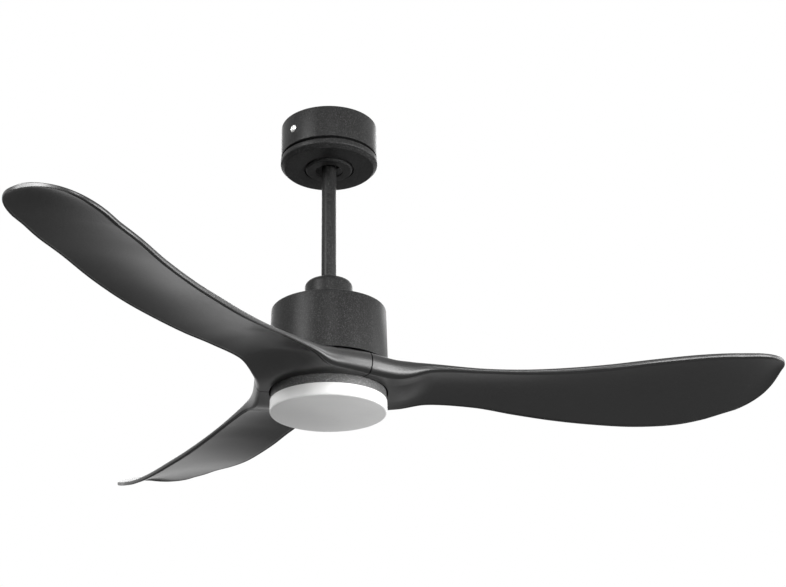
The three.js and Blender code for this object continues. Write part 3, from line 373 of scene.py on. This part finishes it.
def weld(mesh):
    """Merge the points that lie together and drop the edges without length."""
    working = bmesh.new()
    working.from_mesh(mesh)
    bmesh.ops.remove_doubles(working, verts=working.verts, dist=WELD_DISTANCE)
    bmesh.ops.dissolve_degenerate(working, edges=working.edges, dist=LEAST_EDGE)
    working.to_mesh(mesh)
    working.free()


def piece(name, mesh, slot, body, stands_for, sharp=32.0):
    """Object for a finished mesh: smooth, creased where it is sharp, riding on its body."""
    weld(mesh)
    mesh.shade_smooth()
    mesh.set_sharp_from_angle(angle=math.radians(sharp))
    made = bpy.data.objects.new(name, mesh)
    mesh.materials.append(MATERIALS[slot])
    SCENE.collection.objects.link(made)
    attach(made, body)
    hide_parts(*stands_for)


def rounded(corners, steps=6):
    """Closed profile from (radius, height, rounding) corners in mm.

    Each corner is replaced by the arc that touches both of its sides: its centre lies on
    the bisector, and its points run evenly from one touching point to the other.
    """
    points = np.array([corner[:2] for corner in corners], float)
    profile = []
    for index, (_, _, radius) in enumerate(corners):
        here = points[index]
        before = points[index - 1] - here
        after = points[(index + 1) % len(corners)] - here
        before_length, after_length = np.hypot(*before), np.hypot(*after)
        before, after = before / before_length, after / after_length
        half = math.acos(np.clip(before @ after, -1, 1)) / 2
        if radius <= 0 or half > STRAIGHT:
            profile.append(here)
            continue
        reach = min(radius / math.tan(half), SIDE_SHARE * before_length,
                    SIDE_SHARE * after_length)
        radius = reach * math.tan(half)
        bisector = (before + after) / np.hypot(*(before + after))
        centre = here + bisector * radius / math.sin(half)
        start, end = here + before * reach - centre, here + after * reach - centre
        from_angle = math.atan2(start[1], start[0])
        turn = math.atan2(end[1], end[0]) - from_angle
        turn = (turn + math.pi) % (2 * math.pi) - math.pi
        angles = from_angle + turn * np.linspace(0, 1, steps + 1)
        profile.extend(centre + radius * np.stack([np.cos(angles), np.sin(angles)], 1))
    return np.array(profile)


def turned(profile, sides=144, closed=True):
    """Surface of revolution about Z: (r cos a, r sin a, h) over a profile in mm."""
    angles = np.linspace(0, 2 * np.pi, sides, endpoint=False)
    radius, height = profile[:, 0:1] * MM, profile[:, 1:2] * MM
    points = np.stack([radius * np.cos(angles), radius * np.sin(angles),
                       height + 0 * angles], -1)
    return points, grid_faces(len(profile), sides, wrap_rows=closed, wrap_columns=True)


def turned_piece(name, corners, slot, body, stands_for, sides=144, steps=6):
    """Piece turned about Z from (radius, height, rounding) corners in mm."""
    mesh = build_mesh(name, [turned(rounded(corners, steps), sides)])
    piece(name, mesh, slot, body, stands_for)


def span_of(node):
    """Lowest and highest height and largest radius of a round node, in mm."""
    low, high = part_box(node)
    return low.z / MM, high.z / MM, high.x / MM


# ---- Canopy side ----------------------------------------------------------------------
# From here on lengths are in mm, and a corner is (radius, height, rounding).

CANOPY_TAPER = 0.9
CANOPY_WALL = 2.0
GROOVE_LOW = 13.9
GROOVE_WIDTH = 4.8
GROOVE_DEPTH = 6.5
GROOVE_ROLL = 1.0
CANOPY_CHAMFER = 6.2
COLLAR_R, COLLAR_CHAMFER = 36.3, 1.8
COLLAR_WALL, COLLAR_FLOOR = 3.0, 2.2
COLLAR_GAP, COLLAR_LIFT = 3.0, 0.3
FLANGE_R, FLANGE_H = 41.8, 1.0
COLLAR_HOLE = 21.3
LIP_WALL, LIP_H = 2.0, 2.6
# Screw: radius and rise of its head and the power of the dome, radius, length and end
# chamfer of its shank, gap under the head
SCREW_HEAD, SCREW_RISE, SCREW_DOME = 5.9, 2.6, 3.2
SCREW_SHANK, SCREW_LENGTH, SCREW_POINT = 2.1, 5.4, 0.4
SCREW_GAP = 0.2
# Cross of the recess: half width and half length of an arm and width of its sloping sides
# as shares of the head's radius, depth as a share of the dome's rise
CROSS_ARM, CROSS_REACH, CROSS_SLOPE, CROSS_DEPTH = 0.17, 0.62, 0.1, 0.75


def canopy():
    """Straight cup: round its side a groove, for which the wall rolls inward, below it a
    chamfer, and in its floor the hole for the collar."""
    low, high, radius = span_of("canopy")
    upper = radius - CANOPY_TAPER
    inner, rolled = upper - CANOPY_WALL, upper - GROOVE_DEPTH - CANOPY_WALL / 2
    groove = low + GROOVE_LOW
    groove_top = groove + GROOVE_WIDTH
    hole = COLLAR_R + COLLAR_GAP
    turned_piece("canopy_shell", [
        (inner, high, 0.3), (upper, high, 0.5),
        (upper, groove_top, 1.1), (upper - GROOVE_DEPTH, groove_top, 0.3),
        (upper - GROOVE_DEPTH, groove, 0.3), (radius, groove, 1.1),
        (radius, low + CANOPY_CHAMFER, 4.0), (radius - CANOPY_CHAMFER, low, 0.8),
        (hole, low, 0.4), (hole, low + CANOPY_WALL, 0.1), (inner, low + CANOPY_WALL, 2.0),
        (inner, groove - 2 * GROOVE_ROLL, 0.5), (rolled, groove - GROOVE_ROLL, 0.5),
        (rolled, groove_top + GROOVE_ROLL, 0.5), (inner, groove_top + 2 * GROOVE_ROLL, 0.5),
    ], "dark_paint", "ceiling", ["canopy"], sides=192, steps=7)


def collar():
    """Ring in the canopy's hole: flange above the canopy's floor, wall, floor and lip."""
    low, _, _ = span_of("canopy_collar")
    seat = span_of("canopy")[0] + CANOPY_WALL + COLLAR_LIFT
    inner, lip = COLLAR_R - COLLAR_WALL, COLLAR_HOLE + LIP_WALL
    turned_piece("canopy_collar_ring", [
        (COLLAR_HOLE, low, 0.6), (COLLAR_R - COLLAR_CHAMFER, low, 0.8),
        (COLLAR_R, low + COLLAR_CHAMFER, 0.8), (COLLAR_R, seat, 0.2), (FLANGE_R, seat, 0.2),
        (FLANGE_R, seat + FLANGE_H, 0.2), (inner, seat + FLANGE_H, 0.4),
        (inner, low + COLLAR_FLOOR, 0.4), (lip, low + COLLAR_FLOOR, 0.4),
        (lip, low + LIP_H, 0.2), (COLLAR_HOLE, low + LIP_H, 0.8),
    ], "dark_paint", "ceiling", ["canopy_collar"])


def screw_parts(rows=34, sides=96):
    """Parts of a pan-head screw with a crossed recess that points along Z.

    The head is a polar grid whose height is a dome, which falls by a power of the share
    of the radius, less a recess wherever a point lies in one of two crossed bands. The
    shank is a plain turned pin below the seat.
    """
    share = np.linspace(0, 1, rows)[:, None]
    angle = np.linspace(0, 2 * np.pi, sides, endpoint=False)[None, :]
    across, along = SCREW_HEAD * share * np.cos(angle), SCREW_HEAD * share * np.sin(angle)
    dome = SCREW_RISE * (1 - share ** SCREW_DOME) * (1 + 0 * angle)

    def band(value, limit):
        past = (np.abs(value) - limit * SCREW_HEAD) / (CROSS_SLOPE * SCREW_HEAD)
        return 1 - np.clip(past + 0.5, 0, 1)

    cross = np.maximum(band(across, CROSS_ARM) * band(along, CROSS_REACH),
                       band(along, CROSS_ARM) * band(across, CROSS_REACH))
    top = np.stack([across, along, dome - CROSS_DEPTH * SCREW_RISE * cross], -1)
    pin = np.array([(SCREW_HEAD, 0.0), (SCREW_SHANK, 0.0),
                    (SCREW_SHANK, SCREW_POINT - SCREW_LENGTH),
                    (SCREW_SHANK - SCREW_POINT, -SCREW_LENGTH), (0.0, -SCREW_LENGTH)])
    return [(top * MM, grid_faces(rows, sides, wrap_columns=True)),
            turned(pin, sides, closed=False)]


def canopy_screws():
    """Screws in the canopy's side, each pointing straight out from the axis."""
    canopy_radius = (span_of("canopy")[2] - CANOPY_TAPER) * MM
    for number in (1, 2):
        low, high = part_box(f"canopy_screw_{number}")
        middle = (np.array(low) + np.array(high)) / 2
        outward = np.array([middle[0], middle[1], 0.0])
        outward = outward / np.linalg.norm(outward)
        seat = outward * (canopy_radius + SCREW_GAP * MM) + np.array([0, 0, middle[2]])
        side = np.cross((0.0, 0.0, 1.0), outward)
        side = side / np.linalg.norm(side)
        turn = np.stack([side, np.cross(outward, side), outward])
        placed = [(points @ turn + seat, quads) for points, quads in screw_parts()]
        name = f"canopy_screw_head_{number}"
        piece(name, build_mesh(name, placed), "zinc", "ceiling", [f"canopy_screw_{number}"],
              sharp=38.0)


# ---- Rod, cover, housing --------------------------------------------------------------

ROD_WALL = 2.0
COVER_WALL = 1.6
COVER_HOLE = 11.2
COVER_SHOULDER = 9.0
HOUSING_WALL = 2.0
HOUSING_TAPER = 1.8
RIM_LIFT = 2.2
SHAFT_HOLE = 7.8


def downrod():
    """Plain tube."""
    low, high, radius = span_of("downrod")
    turned_piece("downrod_tube", [
        (radius - ROD_WALL, low, 0.3), (radius, low, 0.5), (radius, high, 0.5),
        (radius - ROD_WALL, high, 0.3),
    ], "dark_paint", "hanging", ["downrod"], sides=96, steps=3)


def coupling_cover():
    """Cup turned over the coupler, with a round shoulder and a hole for the rod."""
    low, high, radius = span_of("coupling_cover")
    turned_piece("coupling_cover_shell", [
        (radius - COVER_WALL, low, 0.3), (radius, low, 0.5), (radius, high, COVER_SHOULDER),
        (COVER_HOLE, high, 0.5), (COVER_HOLE, high - COVER_WALL, 0.4),
        (radius - COVER_WALL, high - COVER_WALL, COVER_SHOULDER - COVER_WALL),
    ], "dark_paint", "cover", ["coupling_cover"], steps=10)


def motor_housing():
    """Cup turned over the motor, which widens a little down to its rim."""
    low, high, radius = span_of("motor_housing")
    rim, upper = low + RIM_LIFT, radius - HOUSING_TAPER
    turned_piece("motor_housing_shell", [
        (SHAFT_HOLE, high, 0.3), (upper, high, 2.6), (radius, rim, 0.8),
        (radius - HOUSING_WALL, rim, 0.5), (upper - HOUSING_WALL, high - HOUSING_WALL, 1.5),
        (SHAFT_HOLE, high - HOUSING_WALL, 0.3),
    ], "dark_paint", "hanging", ["motor_housing"], sides=192, steps=8)


# ---- Blades ---------------------------------------------------------------------------
# A blade is a stack of closed sections. The first runs in plan down one root joint, round
# the bore and up the other joint; the next ones straighten into chords further out.
# Heights are from the hub's underside, lengths in mm.

BLADES = 3
FIRST_BLADE = 1.5
LEAD_SPLIT, TRAIL_SPLIT = -56.5, 63.5
SPLIT_GAP = 0.9
# Slopes of the leading and the trailing edge where they leave the hub
LEAD_SWING, TRAIL_SWING = 47, 36
HUB_R, ROOT_IN_R = 109.2, 46.0
HUB_H, HUB_CLEARANCE = 35.5, 0.3
# Radii at which the hub's underside and top begin to become the blade, and where they have
HUB_FLAT_R, HUB_TOP_R, HUB_BLEND_R = 74.0, 66.0, 160.0
# Drop of the top at the joints and the radii between which it runs out
JOINT_DIP, DIP_START, DIP_END = 3.2, 107.0, 131.0
POCKET_R, POCKET_DROP, ROOT_PLATE = 87.5, 20.0, 7.5
# Tip: from where to where it reaches, the place and height at which its edges meet, and
# how much the leading edge curls up on the way
SWEEP_R, TIP_X = 668.0, 600.0
TIP_Y, TIP_Z, TIP_CURL = -24.5, 36.0, 2.0
# Powers of its leading and its trailing edge and of the latter's rise, thickness left
TIP_LEAD_FULLNESS, TIP_TRAIL_FULLNESS, TIP_TRAIL_RISE, TIP_THINNING = 0.78, 0.64, 1.15, 0.6
# Powers that crowd the points towards the hub, the tip and the edges, and how little of
# the tip is left at the last section
SPAN_SPACING, TIP_SPACING, CHORD_SPACING, TIP_LEFT = 1.15, 1.4, 1.7, 0.02
# Rise of the middle, the chord from which it is full, and what the upper side lacks of it
CAMBER, CAMBER_CHORD, UPPER_LOSS = 8.0, 120.0, 0.3
ROOT_BEND = 0.5
# x, leading y and height, trailing y and height, edge thickness, what the middle adds to it
OUTLINE = np.array([
    (105, -68.4, 1.8, 71.9, -3.9, 24.5, 6),
    (150, -60.5, 13.5, 63.5, 3.6, 12, 6),
    (220, -62.2, 11.9, 61, -0.3, 6.6, 5),
    (280, -67.4, 9, 64.6, -9.6, 6.7, 4),
    (340, -73, 9, 68.5, -17.5, 8, 4),
    (400, -79.5, 12.5, 72.5, -22, 8, 4),
    (460, -83.5, 19.5, 75, -24, 7.5, 3),
    (520, -82.5, 27, 75.5, -21, 7.5, 3),
    (565, -82, 31, 74, -13, 7, 2),
    (600, -77.5, 33.5, 67, -4, 7, 2),
], float)
CHORD_KNOT = 2
# Edge profile as shares of its thickness: height of the widest line, run of the rounding
# below it and of the slope above it, and the slope's power. Then the share of half the
# chord that each run keeps within, and the start and power of the rounding on top.
NOSE_LEVEL, NOSE_RUN, BROW_RUN, BROW_POWER = 0.58, 0.32, 0.3, 1.5
NOSE_LIMIT, BROW_LIMIT = 0.35, 0.3
CORNER_START, CORNER_POWER = 0.04, 0.55
# Step inward, as a share of half the chord, by which lengths at an edge are measured
EDGE_STEP = 0.03
# Channel in the underside just behind the rounding of each edge: depth behind the leading
# and the trailing edge, half width, how far in its middle lies as a share of that, and the
# radii at which it sets in, is full, begins to fade and has run out
CHANNEL_DEPTHS, CHANNEL_HALF, CHANNEL_INSET = (0.7, 1.9), 2.2, 0.8
CHANNEL_START, CHANNEL_FULL, CHANNEL_FADE, CHANNEL_END = 112.0, 150.0, 640.0, 662.0


def on_circle(radius, degrees):
    """Point in plan from polar coordinates."""
    return np.array([radius * math.cos(math.radians(degrees)),
                     radius * math.sin(math.radians(degrees))])


def ray_point(radius, degrees, inward):
    """Point on a root joint's face, set back from the joint line by the gap."""
    return on_circle(1, degrees) * radius + on_circle(SPLIT_GAP, degrees + inward * 90)


def curve(knots, start, start_slope, places):
    """Catmull-Rom curve through start and the knots, with a chosen slope at its start."""
    chain = np.vstack([knots[0] - 2 * start_slope, start, knots, 2 * knots[-1] - knots[-2]])
    index = np.clip(np.floor(places).astype(int), 0, len(knots) - 1)
    t = (places - index)[:, None]
    a, b, c, d = (chain[index + k] for k in range(4))
    return 0.5 * (2 * b + (c - a) * t + (2 * a - 5 * b + 4 * c - d) * t ** 2
                  + (3 * b - a - 3 * c + d) * t ** 3)


def mix(first, second, share):
    return first + (second - first) * share


def smooth_step(value, start, end):
    """Share of the way from start to end, squared and eased: s * s * (3 - 2 * s)."""
    share = np.clip((value - start) / (end - start), 0, 1)
    return share ** 2 * (3 - 2 * share)


def stations(places, tips):
    """Edges, heights and thicknesses at each section: spline along the knots, then a tip
    whose edges close on an ellipse."""
    places = np.concatenate([places, np.full(len(tips), float(len(OUTLINE)))])
    angle = np.radians(np.concatenate([np.zeros(len(places) - len(tips)), tips]))[:, None]
    lead = curve(OUTLINE[:, [0, 1]], ray_point(HUB_R, LEAD_SPLIT, 1),
                 on_circle(LEAD_SWING, LEAD_SPLIT + 90), places)
    trail = curve(OUTLINE[:, [0, 3]], ray_point(HUB_R, TRAIL_SPLIT, -1),
                  on_circle(TRAIL_SWING, TRAIL_SPLIT - 90), places)
    heights = curve(OUTLINE[:, [2, 4]], np.zeros(2), np.zeros(2), places)
    thick = curve(OUTLINE[:, [5, 6]], np.array([HUB_H, 0]), np.zeros(2), places)
    at_tip = angle > 0
    tip_x = mix(TIP_X, SWEEP_R, np.sin(angle))
    lead_y = mix(TIP_Y, lead[:, 1:], np.cos(angle) ** TIP_LEAD_FULLNESS)
    trail_y = mix(TIP_Y, trail[:, 1:], np.cos(angle) ** TIP_TRAIL_FULLNESS)
    lead = np.where(at_tip, np.hstack([tip_x, lead_y]), lead)
    trail = np.where(at_tip, np.hstack([tip_x, trail_y]), trail)
    share = angle / (math.pi / 2)
    lead_z = mix(TIP_Z, heights[:, :1], np.cos(angle)) + TIP_CURL * np.sin(2 * angle)
    trail_z = mix(heights[:, 1:], TIP_Z, share ** TIP_TRAIL_RISE)
    heights = np.where(at_tip, np.hstack([lead_z, trail_z]), heights)
    thick = np.where(at_tip, thick * mix(1.0, TIP_THINNING, share), thick)
    return lead, trail, heights, thick, places


def root_edge(across):
    """Plan of the root: along one joint, round the bore, along the other joint."""
    side = np.sign(across)[..., None]
    run = (np.abs(across) - ROOT_BEND) / (1 - ROOT_BEND)
    radius = mix(ROOT_IN_R, HUB_R, np.clip(run, 0, 1))[..., None]
    lead_ray, trail_ray = ray_point(radius, LEAD_SPLIT, 1), ray_point(radius, TRAIL_SPLIT, -1)
    bend = np.clip(across / ROOT_BEND, -1, 1)
    angle = np.radians(mix(LEAD_SPLIT, TRAIL_SPLIT, (bend + 1) / 2))[..., None]
    bore = ROOT_IN_R * np.concatenate([np.cos(angle), np.sin(angle)], -1)
    on_ray = (run > 0)[..., None]
    return np.where(on_ray, np.where(side < 0, lead_ray, trail_ray), bore)


def plan(lead, trail, places, across):
    """Plan position of points across each section, from -1 (leading) to 1 (trailing).

    Beyond the chord knot it is the straight chord. Nearer the hub it is a blend of the
    root's edge and that chord, pulled onto the outline by the cube of the place across.
    """
    half = ((across + 1) / 2)[..., None]
    straight = mix(lead[:, None], trail[:, None], half)
    knot_lead, knot_trail = OUTLINE[CHORD_KNOT - 1, [0, 1]], OUTLINE[CHORD_KNOT - 1, [0, 3]]
    share = np.clip(places / CHORD_KNOT, 0, 1)[:, None, None]
    side = (across < 0)[..., None]
    edge = np.where(side, lead[:, None], trail[:, None])
    knot = np.where(side, knot_lead, knot_trail)
    end = root_edge(np.where(across < 0, -1.0, 1.0))
    offset = edge - mix(end, knot, share)
    inner = mix(root_edge(across), mix(knot_lead, knot_trail, half), share)
    near = inner + offset * np.abs(across)[..., None] ** 3
    return np.where(places[:, None, None] >= CHORD_KNOT, straight, near)


def surfaces(heights, thick, across, place):
    """Underside and upper side of the blade at points in plan, flat and deep at the hub.

    Between the edges both rise by a parabola, one less the square of the place across.
    The rise fades as the chord shrinks, and the upper side lacks a share of it.
    """
    radius = np.hypot(place[..., 0], place[..., 1])
    blade = smooth_step(radius, HUB_FLAT_R, HUB_BLEND_R)
    crown = smooth_step(radius, HUB_TOP_R, HUB_BLEND_R)
    bulge = 1 - across ** 2
    chord = np.abs(place[:, :1, 1] - place[:, -1:, 1])
    camber = CAMBER * smooth_step(chord, 0, CAMBER_CHORD) * bulge
    low = mix(heights[:, :1], heights[:, 1:], (across + 1) / 2) + camber * blade
    high = low + thick[:, :1] + thick[:, 1:] * bulge - camber * UPPER_LOSS
    dip = smooth_step(np.abs(across), ROOT_BEND, 1)
    dip = dip * (1 - smooth_step(radius, DIP_START, DIP_END))
    return low * blade, mix(HUB_H, high, crown) - JOINT_DIP * dip


def channel(under, under_plan, ends):
    """Height of the channels: a smooth bump centred just inside each edge's rounding."""
    radius = np.hypot(under_plan[..., 0], under_plan[..., 1])
    strength = smooth_step(radius, CHANNEL_START, CHANNEL_FULL)
    strength = strength * (1 - smooth_step(radius, CHANNEL_FADE, CHANNEL_END))
    height = 0
    for (side, per_length, depth), deep in zip(ends, CHANNEL_DEPTHS):
        distance = (1 - side * under) / per_length
        offset = (distance - NOSE_RUN * depth - CHANNEL_INSET * CHANNEL_HALF) / CHANNEL_HALF
        height = height + deep * np.clip(1 - offset ** 2, 0, 1) ** 2
    return height * strength


def across_section(edges, between):
    """Places across the sections from edge to edge, and how far each lies off the side."""
    (lead, lead_step), (trail, trail_step) = edges
    middle = mix(lead[:, -1:], trail[:, -1:], (between + 1) / 2)
    return (np.hstack([lead, middle, trail[:, ::-1]]),
            np.hstack([lead_step, 0 * middle, trail_step[:, ::-1]]))


def blade_points(span_steps=170, tip_steps=36, chord_steps=56, nose_steps=9):
    """Sections' undersides and upper sides, each from the leading to the trailing edge.

    Below the widest line an edge is a quarter ellipse; above it, it leans back by a power
    of the height and ends in a small rounding.
    """
    places = np.linspace(0, 1, span_steps) ** SPAN_SPACING * len(OUTLINE)
    tips = np.degrees(np.arccos(np.linspace(1, TIP_LEFT, tip_steps + 1)[1:] ** TIP_SPACING))
    lead, trail, heights, thick, places = stations(places, tips)
    ends = []
    for side in (-1.0, 1.0):
        outer = np.full((len(places), 1), side)
        edge = plan(lead, trail, places, outer)
        step = edge - plan(lead, trail, places, outer * (1 - EDGE_STEP))
        per_length = EDGE_STEP / np.maximum(np.linalg.norm(step[:, 0], axis=-1), 1e-6)
        low, high = surfaces(heights, thick, outer, edge)
        ends.append((side, per_length[:, None], high - low))
    round_angle = np.linspace(0, np.pi / 2, nose_steps)[None, :]
    climb = np.linspace(0, 1, nose_steps + 1)[None, 1:]
    corner = np.clip(climb * (1 + CORNER_START) - CORNER_START, 0, 1)
    lower, upper = [], []
    for side, per_length, depth in ends:
        level = NOSE_LEVEL * depth
        run = np.minimum(NOSE_RUN * depth, NOSE_LIMIT / per_length)
        down = side * (1 - run * per_length * (1 - np.cos(round_angle)))
        lower.append((down, level * (1 - np.sin(round_angle))))
        lean = np.minimum(BROW_RUN * depth, BROW_LIMIT / per_length)
        up = side * (1 - lean * per_length * (climb ** BROW_POWER))
        fall = (depth - level) * (1 - np.sin(corner * np.pi / 2) ** CORNER_POWER)
        upper.append((up, fall * (climb < 1)))
    between = np.linspace(-1, 1, chord_steps + 2)[None, 1:-1]
    between = np.sign(between) * (1 - (1 - np.abs(between)) ** CHORD_SPACING)
    under, lift = across_section(lower, between)
    over, drop = across_section(upper, between)
    under_plan, over_plan = (plan(lead, trail, places, a) for a in (under, over))
    low, _ = surfaces(heights, thick, under, under_plan)
    _, high = surfaces(heights, thick, over, over_plan)
    low = low + channel(under, under_plan, ends)
    below = np.concatenate([under_plan, (low + lift)[..., None]], -1)
    above = np.concatenate([over_plan, (high - drop)[..., None]], -1)
    return below, above


def blade_mesh(name, angle, hub_low):
    """Blade turned to its angle: rings of points along it, and a cap on either end."""
    below, above = blade_points()
    rings = np.concatenate([below, above[:, ::-1]], 1)
    rows, columns = rings.shape[:2]
    half = columns // 2
    faces = [grid_faces(rows, columns, wrap_columns=True)]
    first = np.arange(half - 1)
    cap = np.stack([first, first + 1, columns - 2 - first, columns - 1 - first], -1)
    faces += [cap[:, ::-1], cap + (rows - 1) * columns]
    turn = math.radians(angle)
    matrix = np.array([[math.cos(turn), math.sin(turn), 0],
                       [-math.sin(turn), math.cos(turn), 0], [0, 0, 1]])
    points = rings.reshape(-1, 3) @ matrix + np.array([0, 0, hub_low])
    return build_mesh(name, [(points * MM, np.vstack(faces))])


def without(mesh, tool_mesh):
    """Mesh less a second one."""
    base = bpy.data.objects.new("base", mesh)
    tool = bpy.data.objects.new("tool", tool_mesh)
    for made in (base, tool):
        SCENE.collection.objects.link(made)
    cut = base.modifiers.new("cut", "BOOLEAN")
    cut.operation, cut.solver, cut.object = "DIFFERENCE", "EXACT", tool
    bpy.context.view_layer.update()
    evaluated = base.evaluated_get(bpy.context.evaluated_depsgraph_get())
    result = bpy.data.meshes.new_from_object(evaluated)
    bpy.data.objects.remove(base)
    bpy.data.objects.remove(tool)
    return result


def blades():
    """Equal blades, with a round pocket cut into their roots from below."""
    hub_high = span_of("rotor_hub")[0] - HUB_CLEARANCE
    hub_low = hub_high - HUB_H
    pocket_low, pocket_high = hub_low - POCKET_DROP, hub_high - ROOT_PLATE
    cylinder = np.array([(0.0, pocket_low), (POCKET_R, pocket_low), (POCKET_R, pocket_high),
                         (0.0, pocket_high)])
    for number in range(1, BLADES + 1):
        name = f"blade_{number}"
        angle = FIRST_BLADE + (number - 1) * 360 / BLADES
        mesh = blade_mesh(name + "_shell", angle, hub_low)
        pocket = build_mesh("pocket", [turned(cylinder, closed=False)])
        weld(mesh)
        weld(pocket)
        mesh = without(mesh, pocket)
        piece(name + "_shell", mesh, "blade_black", "rotor", [name], sharp=36.0)


# ---- Light ----------------------------------------------------------------------------

PAN_WALL, PAN_LEDGE = 1.5, 1.6
BOWL_WALL, BOWL_EDGE_R, BOWL_SAG = 2.0, 3.4, 5.2
# Rings of points on the bowl's floor, steps of its outer and inner edge, and the angle in
# degrees at which the inner edge starts
BOWL_RINGS, OUTER_STEPS, INNER_STEPS, INNER_START = 24, 14, 9, -85
SPIGOT_R, SPIGOT_H, SPIGOT_WALL = 81.5, 6.0, 1.4


def light_pan():
    """Shallow cup turned over, with a ledge round the inside of its rim."""
    low, high, radius = span_of("light_pan")
    inner = radius - PAN_WALL
    turned_piece("light_ring", [
        (SHAFT_HOLE, high, 0.2), (radius, high, 1.2), (radius, low, 0.8),
        (inner - PAN_LEDGE, low, 0.3), (inner - PAN_LEDGE, low + PAN_WALL, 0.2),
        (inner, low + PAN_WALL, 0.2), (inner, high - PAN_WALL, 0.8),
        (SHAFT_HOLE, high - PAN_WALL, 0.2),
    ], "pan_paint", "hanging", ["light_pan"], sides=192, steps=5)


def diffuser():
    """Bowl with a spigot above, a straight wall and a small round edge.

    Its floor rises from the middle by the sag times the square of the share of the radius.
    """
    low, high, radius = span_of("diffuser")
    top, floor_r = high - SPIGOT_H, radius - BOWL_EDGE_R
    edge_z, edge_inner = low + BOWL_EDGE_R + BOWL_SAG, BOWL_EDGE_R - BOWL_WALL
    outer = rounded([(radius, top, 0.6), (radius, low + BOWL_SAG, BOWL_EDGE_R),
                     (0, low + BOWL_SAG, 0)], OUTER_STEPS)[:-1]
    flat = np.linspace(outer[-1, 0], 0, BOWL_RINGS)[1:]
    bottom = np.stack([flat, low + BOWL_SAG * (flat / floor_r) ** 2], 1)
    inside = np.stack([bottom[::-1, 0] * (1 - BOWL_WALL / radius),
                       bottom[::-1, 1] + BOWL_WALL], 1)
    angles = np.radians(np.linspace(INNER_START, 0, INNER_STEPS + 1))
    arc = np.stack([floor_r + edge_inner * np.cos(angles),
                    edge_z + edge_inner * np.sin(angles)], 1)
    bore, shoulder = SPIGOT_R - SPIGOT_WALL, top - BOWL_WALL
    spigot = [(SPIGOT_R, high), (SPIGOT_R, top)]
    neck = [(radius - BOWL_WALL, shoulder), (bore, shoulder), (bore, high)]
    profile = np.vstack([spigot, outer, bottom, inside, arc, neck])
    mesh = build_mesh("diffuser_bowl", [turned(profile, sides=192)])
    piece("diffuser_bowl", mesh, "opal_white", "diffuser", ["diffuser"], sharp=40.0)


# ---- Assembly -------------------------------------------------------------------------

canopy()
collar()
canopy_screws()
downrod()
coupling_cover()
motor_housing()
blades()
light_pan()
diffuser()

SLOT_OF = {part["node"]: part["material_slot"] for part in frame["record"]["subparts"]}
for node, node_object in frame["nodes"].items():
    node_object.data.materials.clear()
    node_object.data.materials.append(MATERIALS[SLOT_OF[node]])

# ---- Floor and background -------------------------------------------------------------

FLOOR_Z, FLOOR_HALF = -5.0, 90.0
# The floor glows more with distance: weakly from the near to the middle distance, then
# up to white at the far one. Rays from the camera add their own share.
NEAR, MIDDLE, FAR = 6.0, 20.0, 85.0
NEAR_GLOW, MIDDLE_GLOW, FAR_GLOW, CAMERA_GLOW = 0.08, 0.2, 1.0, 0.32
AMBIENT = 0.06


def floor():
    """Pale floor; rays that show it also see it lighten into the white background."""
    corners = [(x * FLOOR_HALF, y * FLOOR_HALF, FLOOR_Z)
               for x, y in ((-1, -1), (1, -1), (1, 1), (-1, 1))]
    mesh = bpy.data.meshes.new("floor")
    mesh.from_pydata(corners, [], [(0, 1, 2, 3)])
    made = bpy.data.objects.new("floor", mesh)
    finish = Finish("floor_pale", Roughness=0.8, Emission_Strength=1.0)
    finish.feed("Base Color", finish.blend(finish.noise(scale=2.0), grey(0.76), grey(0.8)))
    camera, glossy, through = (finish.node("LightPath", {}, out=ray) for ray in (
        "Is Camera Ray", "Is Glossy Ray", "Is Transmission Ray"))
    shown = finish.maths("MAXIMUM", finish.maths("MAXIMUM", camera, glossy), through)
    distance = finish.node("VectorMath", {"operation": "LENGTH"}, finish.place, out="Value")
    level = (finish.span(distance, NEAR, MIDDLE, NEAR_GLOW, MIDDLE_GLOW)
             + finish.span(distance, MIDDLE, FAR, 0.0, FAR_GLOW - MIDDLE_GLOW))
    glow = shown * level + camera * CAMERA_GLOW
    finish.feed("Emission Color", finish.blend(glow, grey(0.0), grey(1.0)))
    mesh.materials.append(finish.material)
    SCENE.collection.objects.link(made)


def background():
    """White to the rays that show it, and a weak light to all others."""
    world = bpy.data.worlds.new("studio")
    SCENE.world = world
    world.use_nodes = True
    nodes, links = world.node_tree.nodes, world.node_tree.links
    nodes.clear()
    path = nodes.new("ShaderNodeLightPath")
    shown = path.outputs["Is Camera Ray"]
    for ray in ("Is Transmission Ray", "Is Glossy Ray"):
        largest = nodes.new("ShaderNodeMath")
        largest.operation = "MAXIMUM"
        links.new(shown, largest.inputs[0])
        links.new(path.outputs[ray], largest.inputs[1])
        shown = largest.outputs[0]
    blend = nodes.new("ShaderNodeMixShader")
    links.new(shown, blend.inputs[0])
    for index, strength in ((1, AMBIENT), (2, 1.0)):
        white = nodes.new("ShaderNodeBackground")
        white.inputs["Color"].default_value = (1, 1, 1, 1)
        white.inputs["Strength"].default_value = strength
        links.new(white.outputs[0], blend.inputs[index])
    output = nodes.new("ShaderNodeOutputWorld")
    links.new(blend.outputs[0], output.inputs["Surface"])


floor()
background()
SCENE.view_settings.view_transform = "Standard"
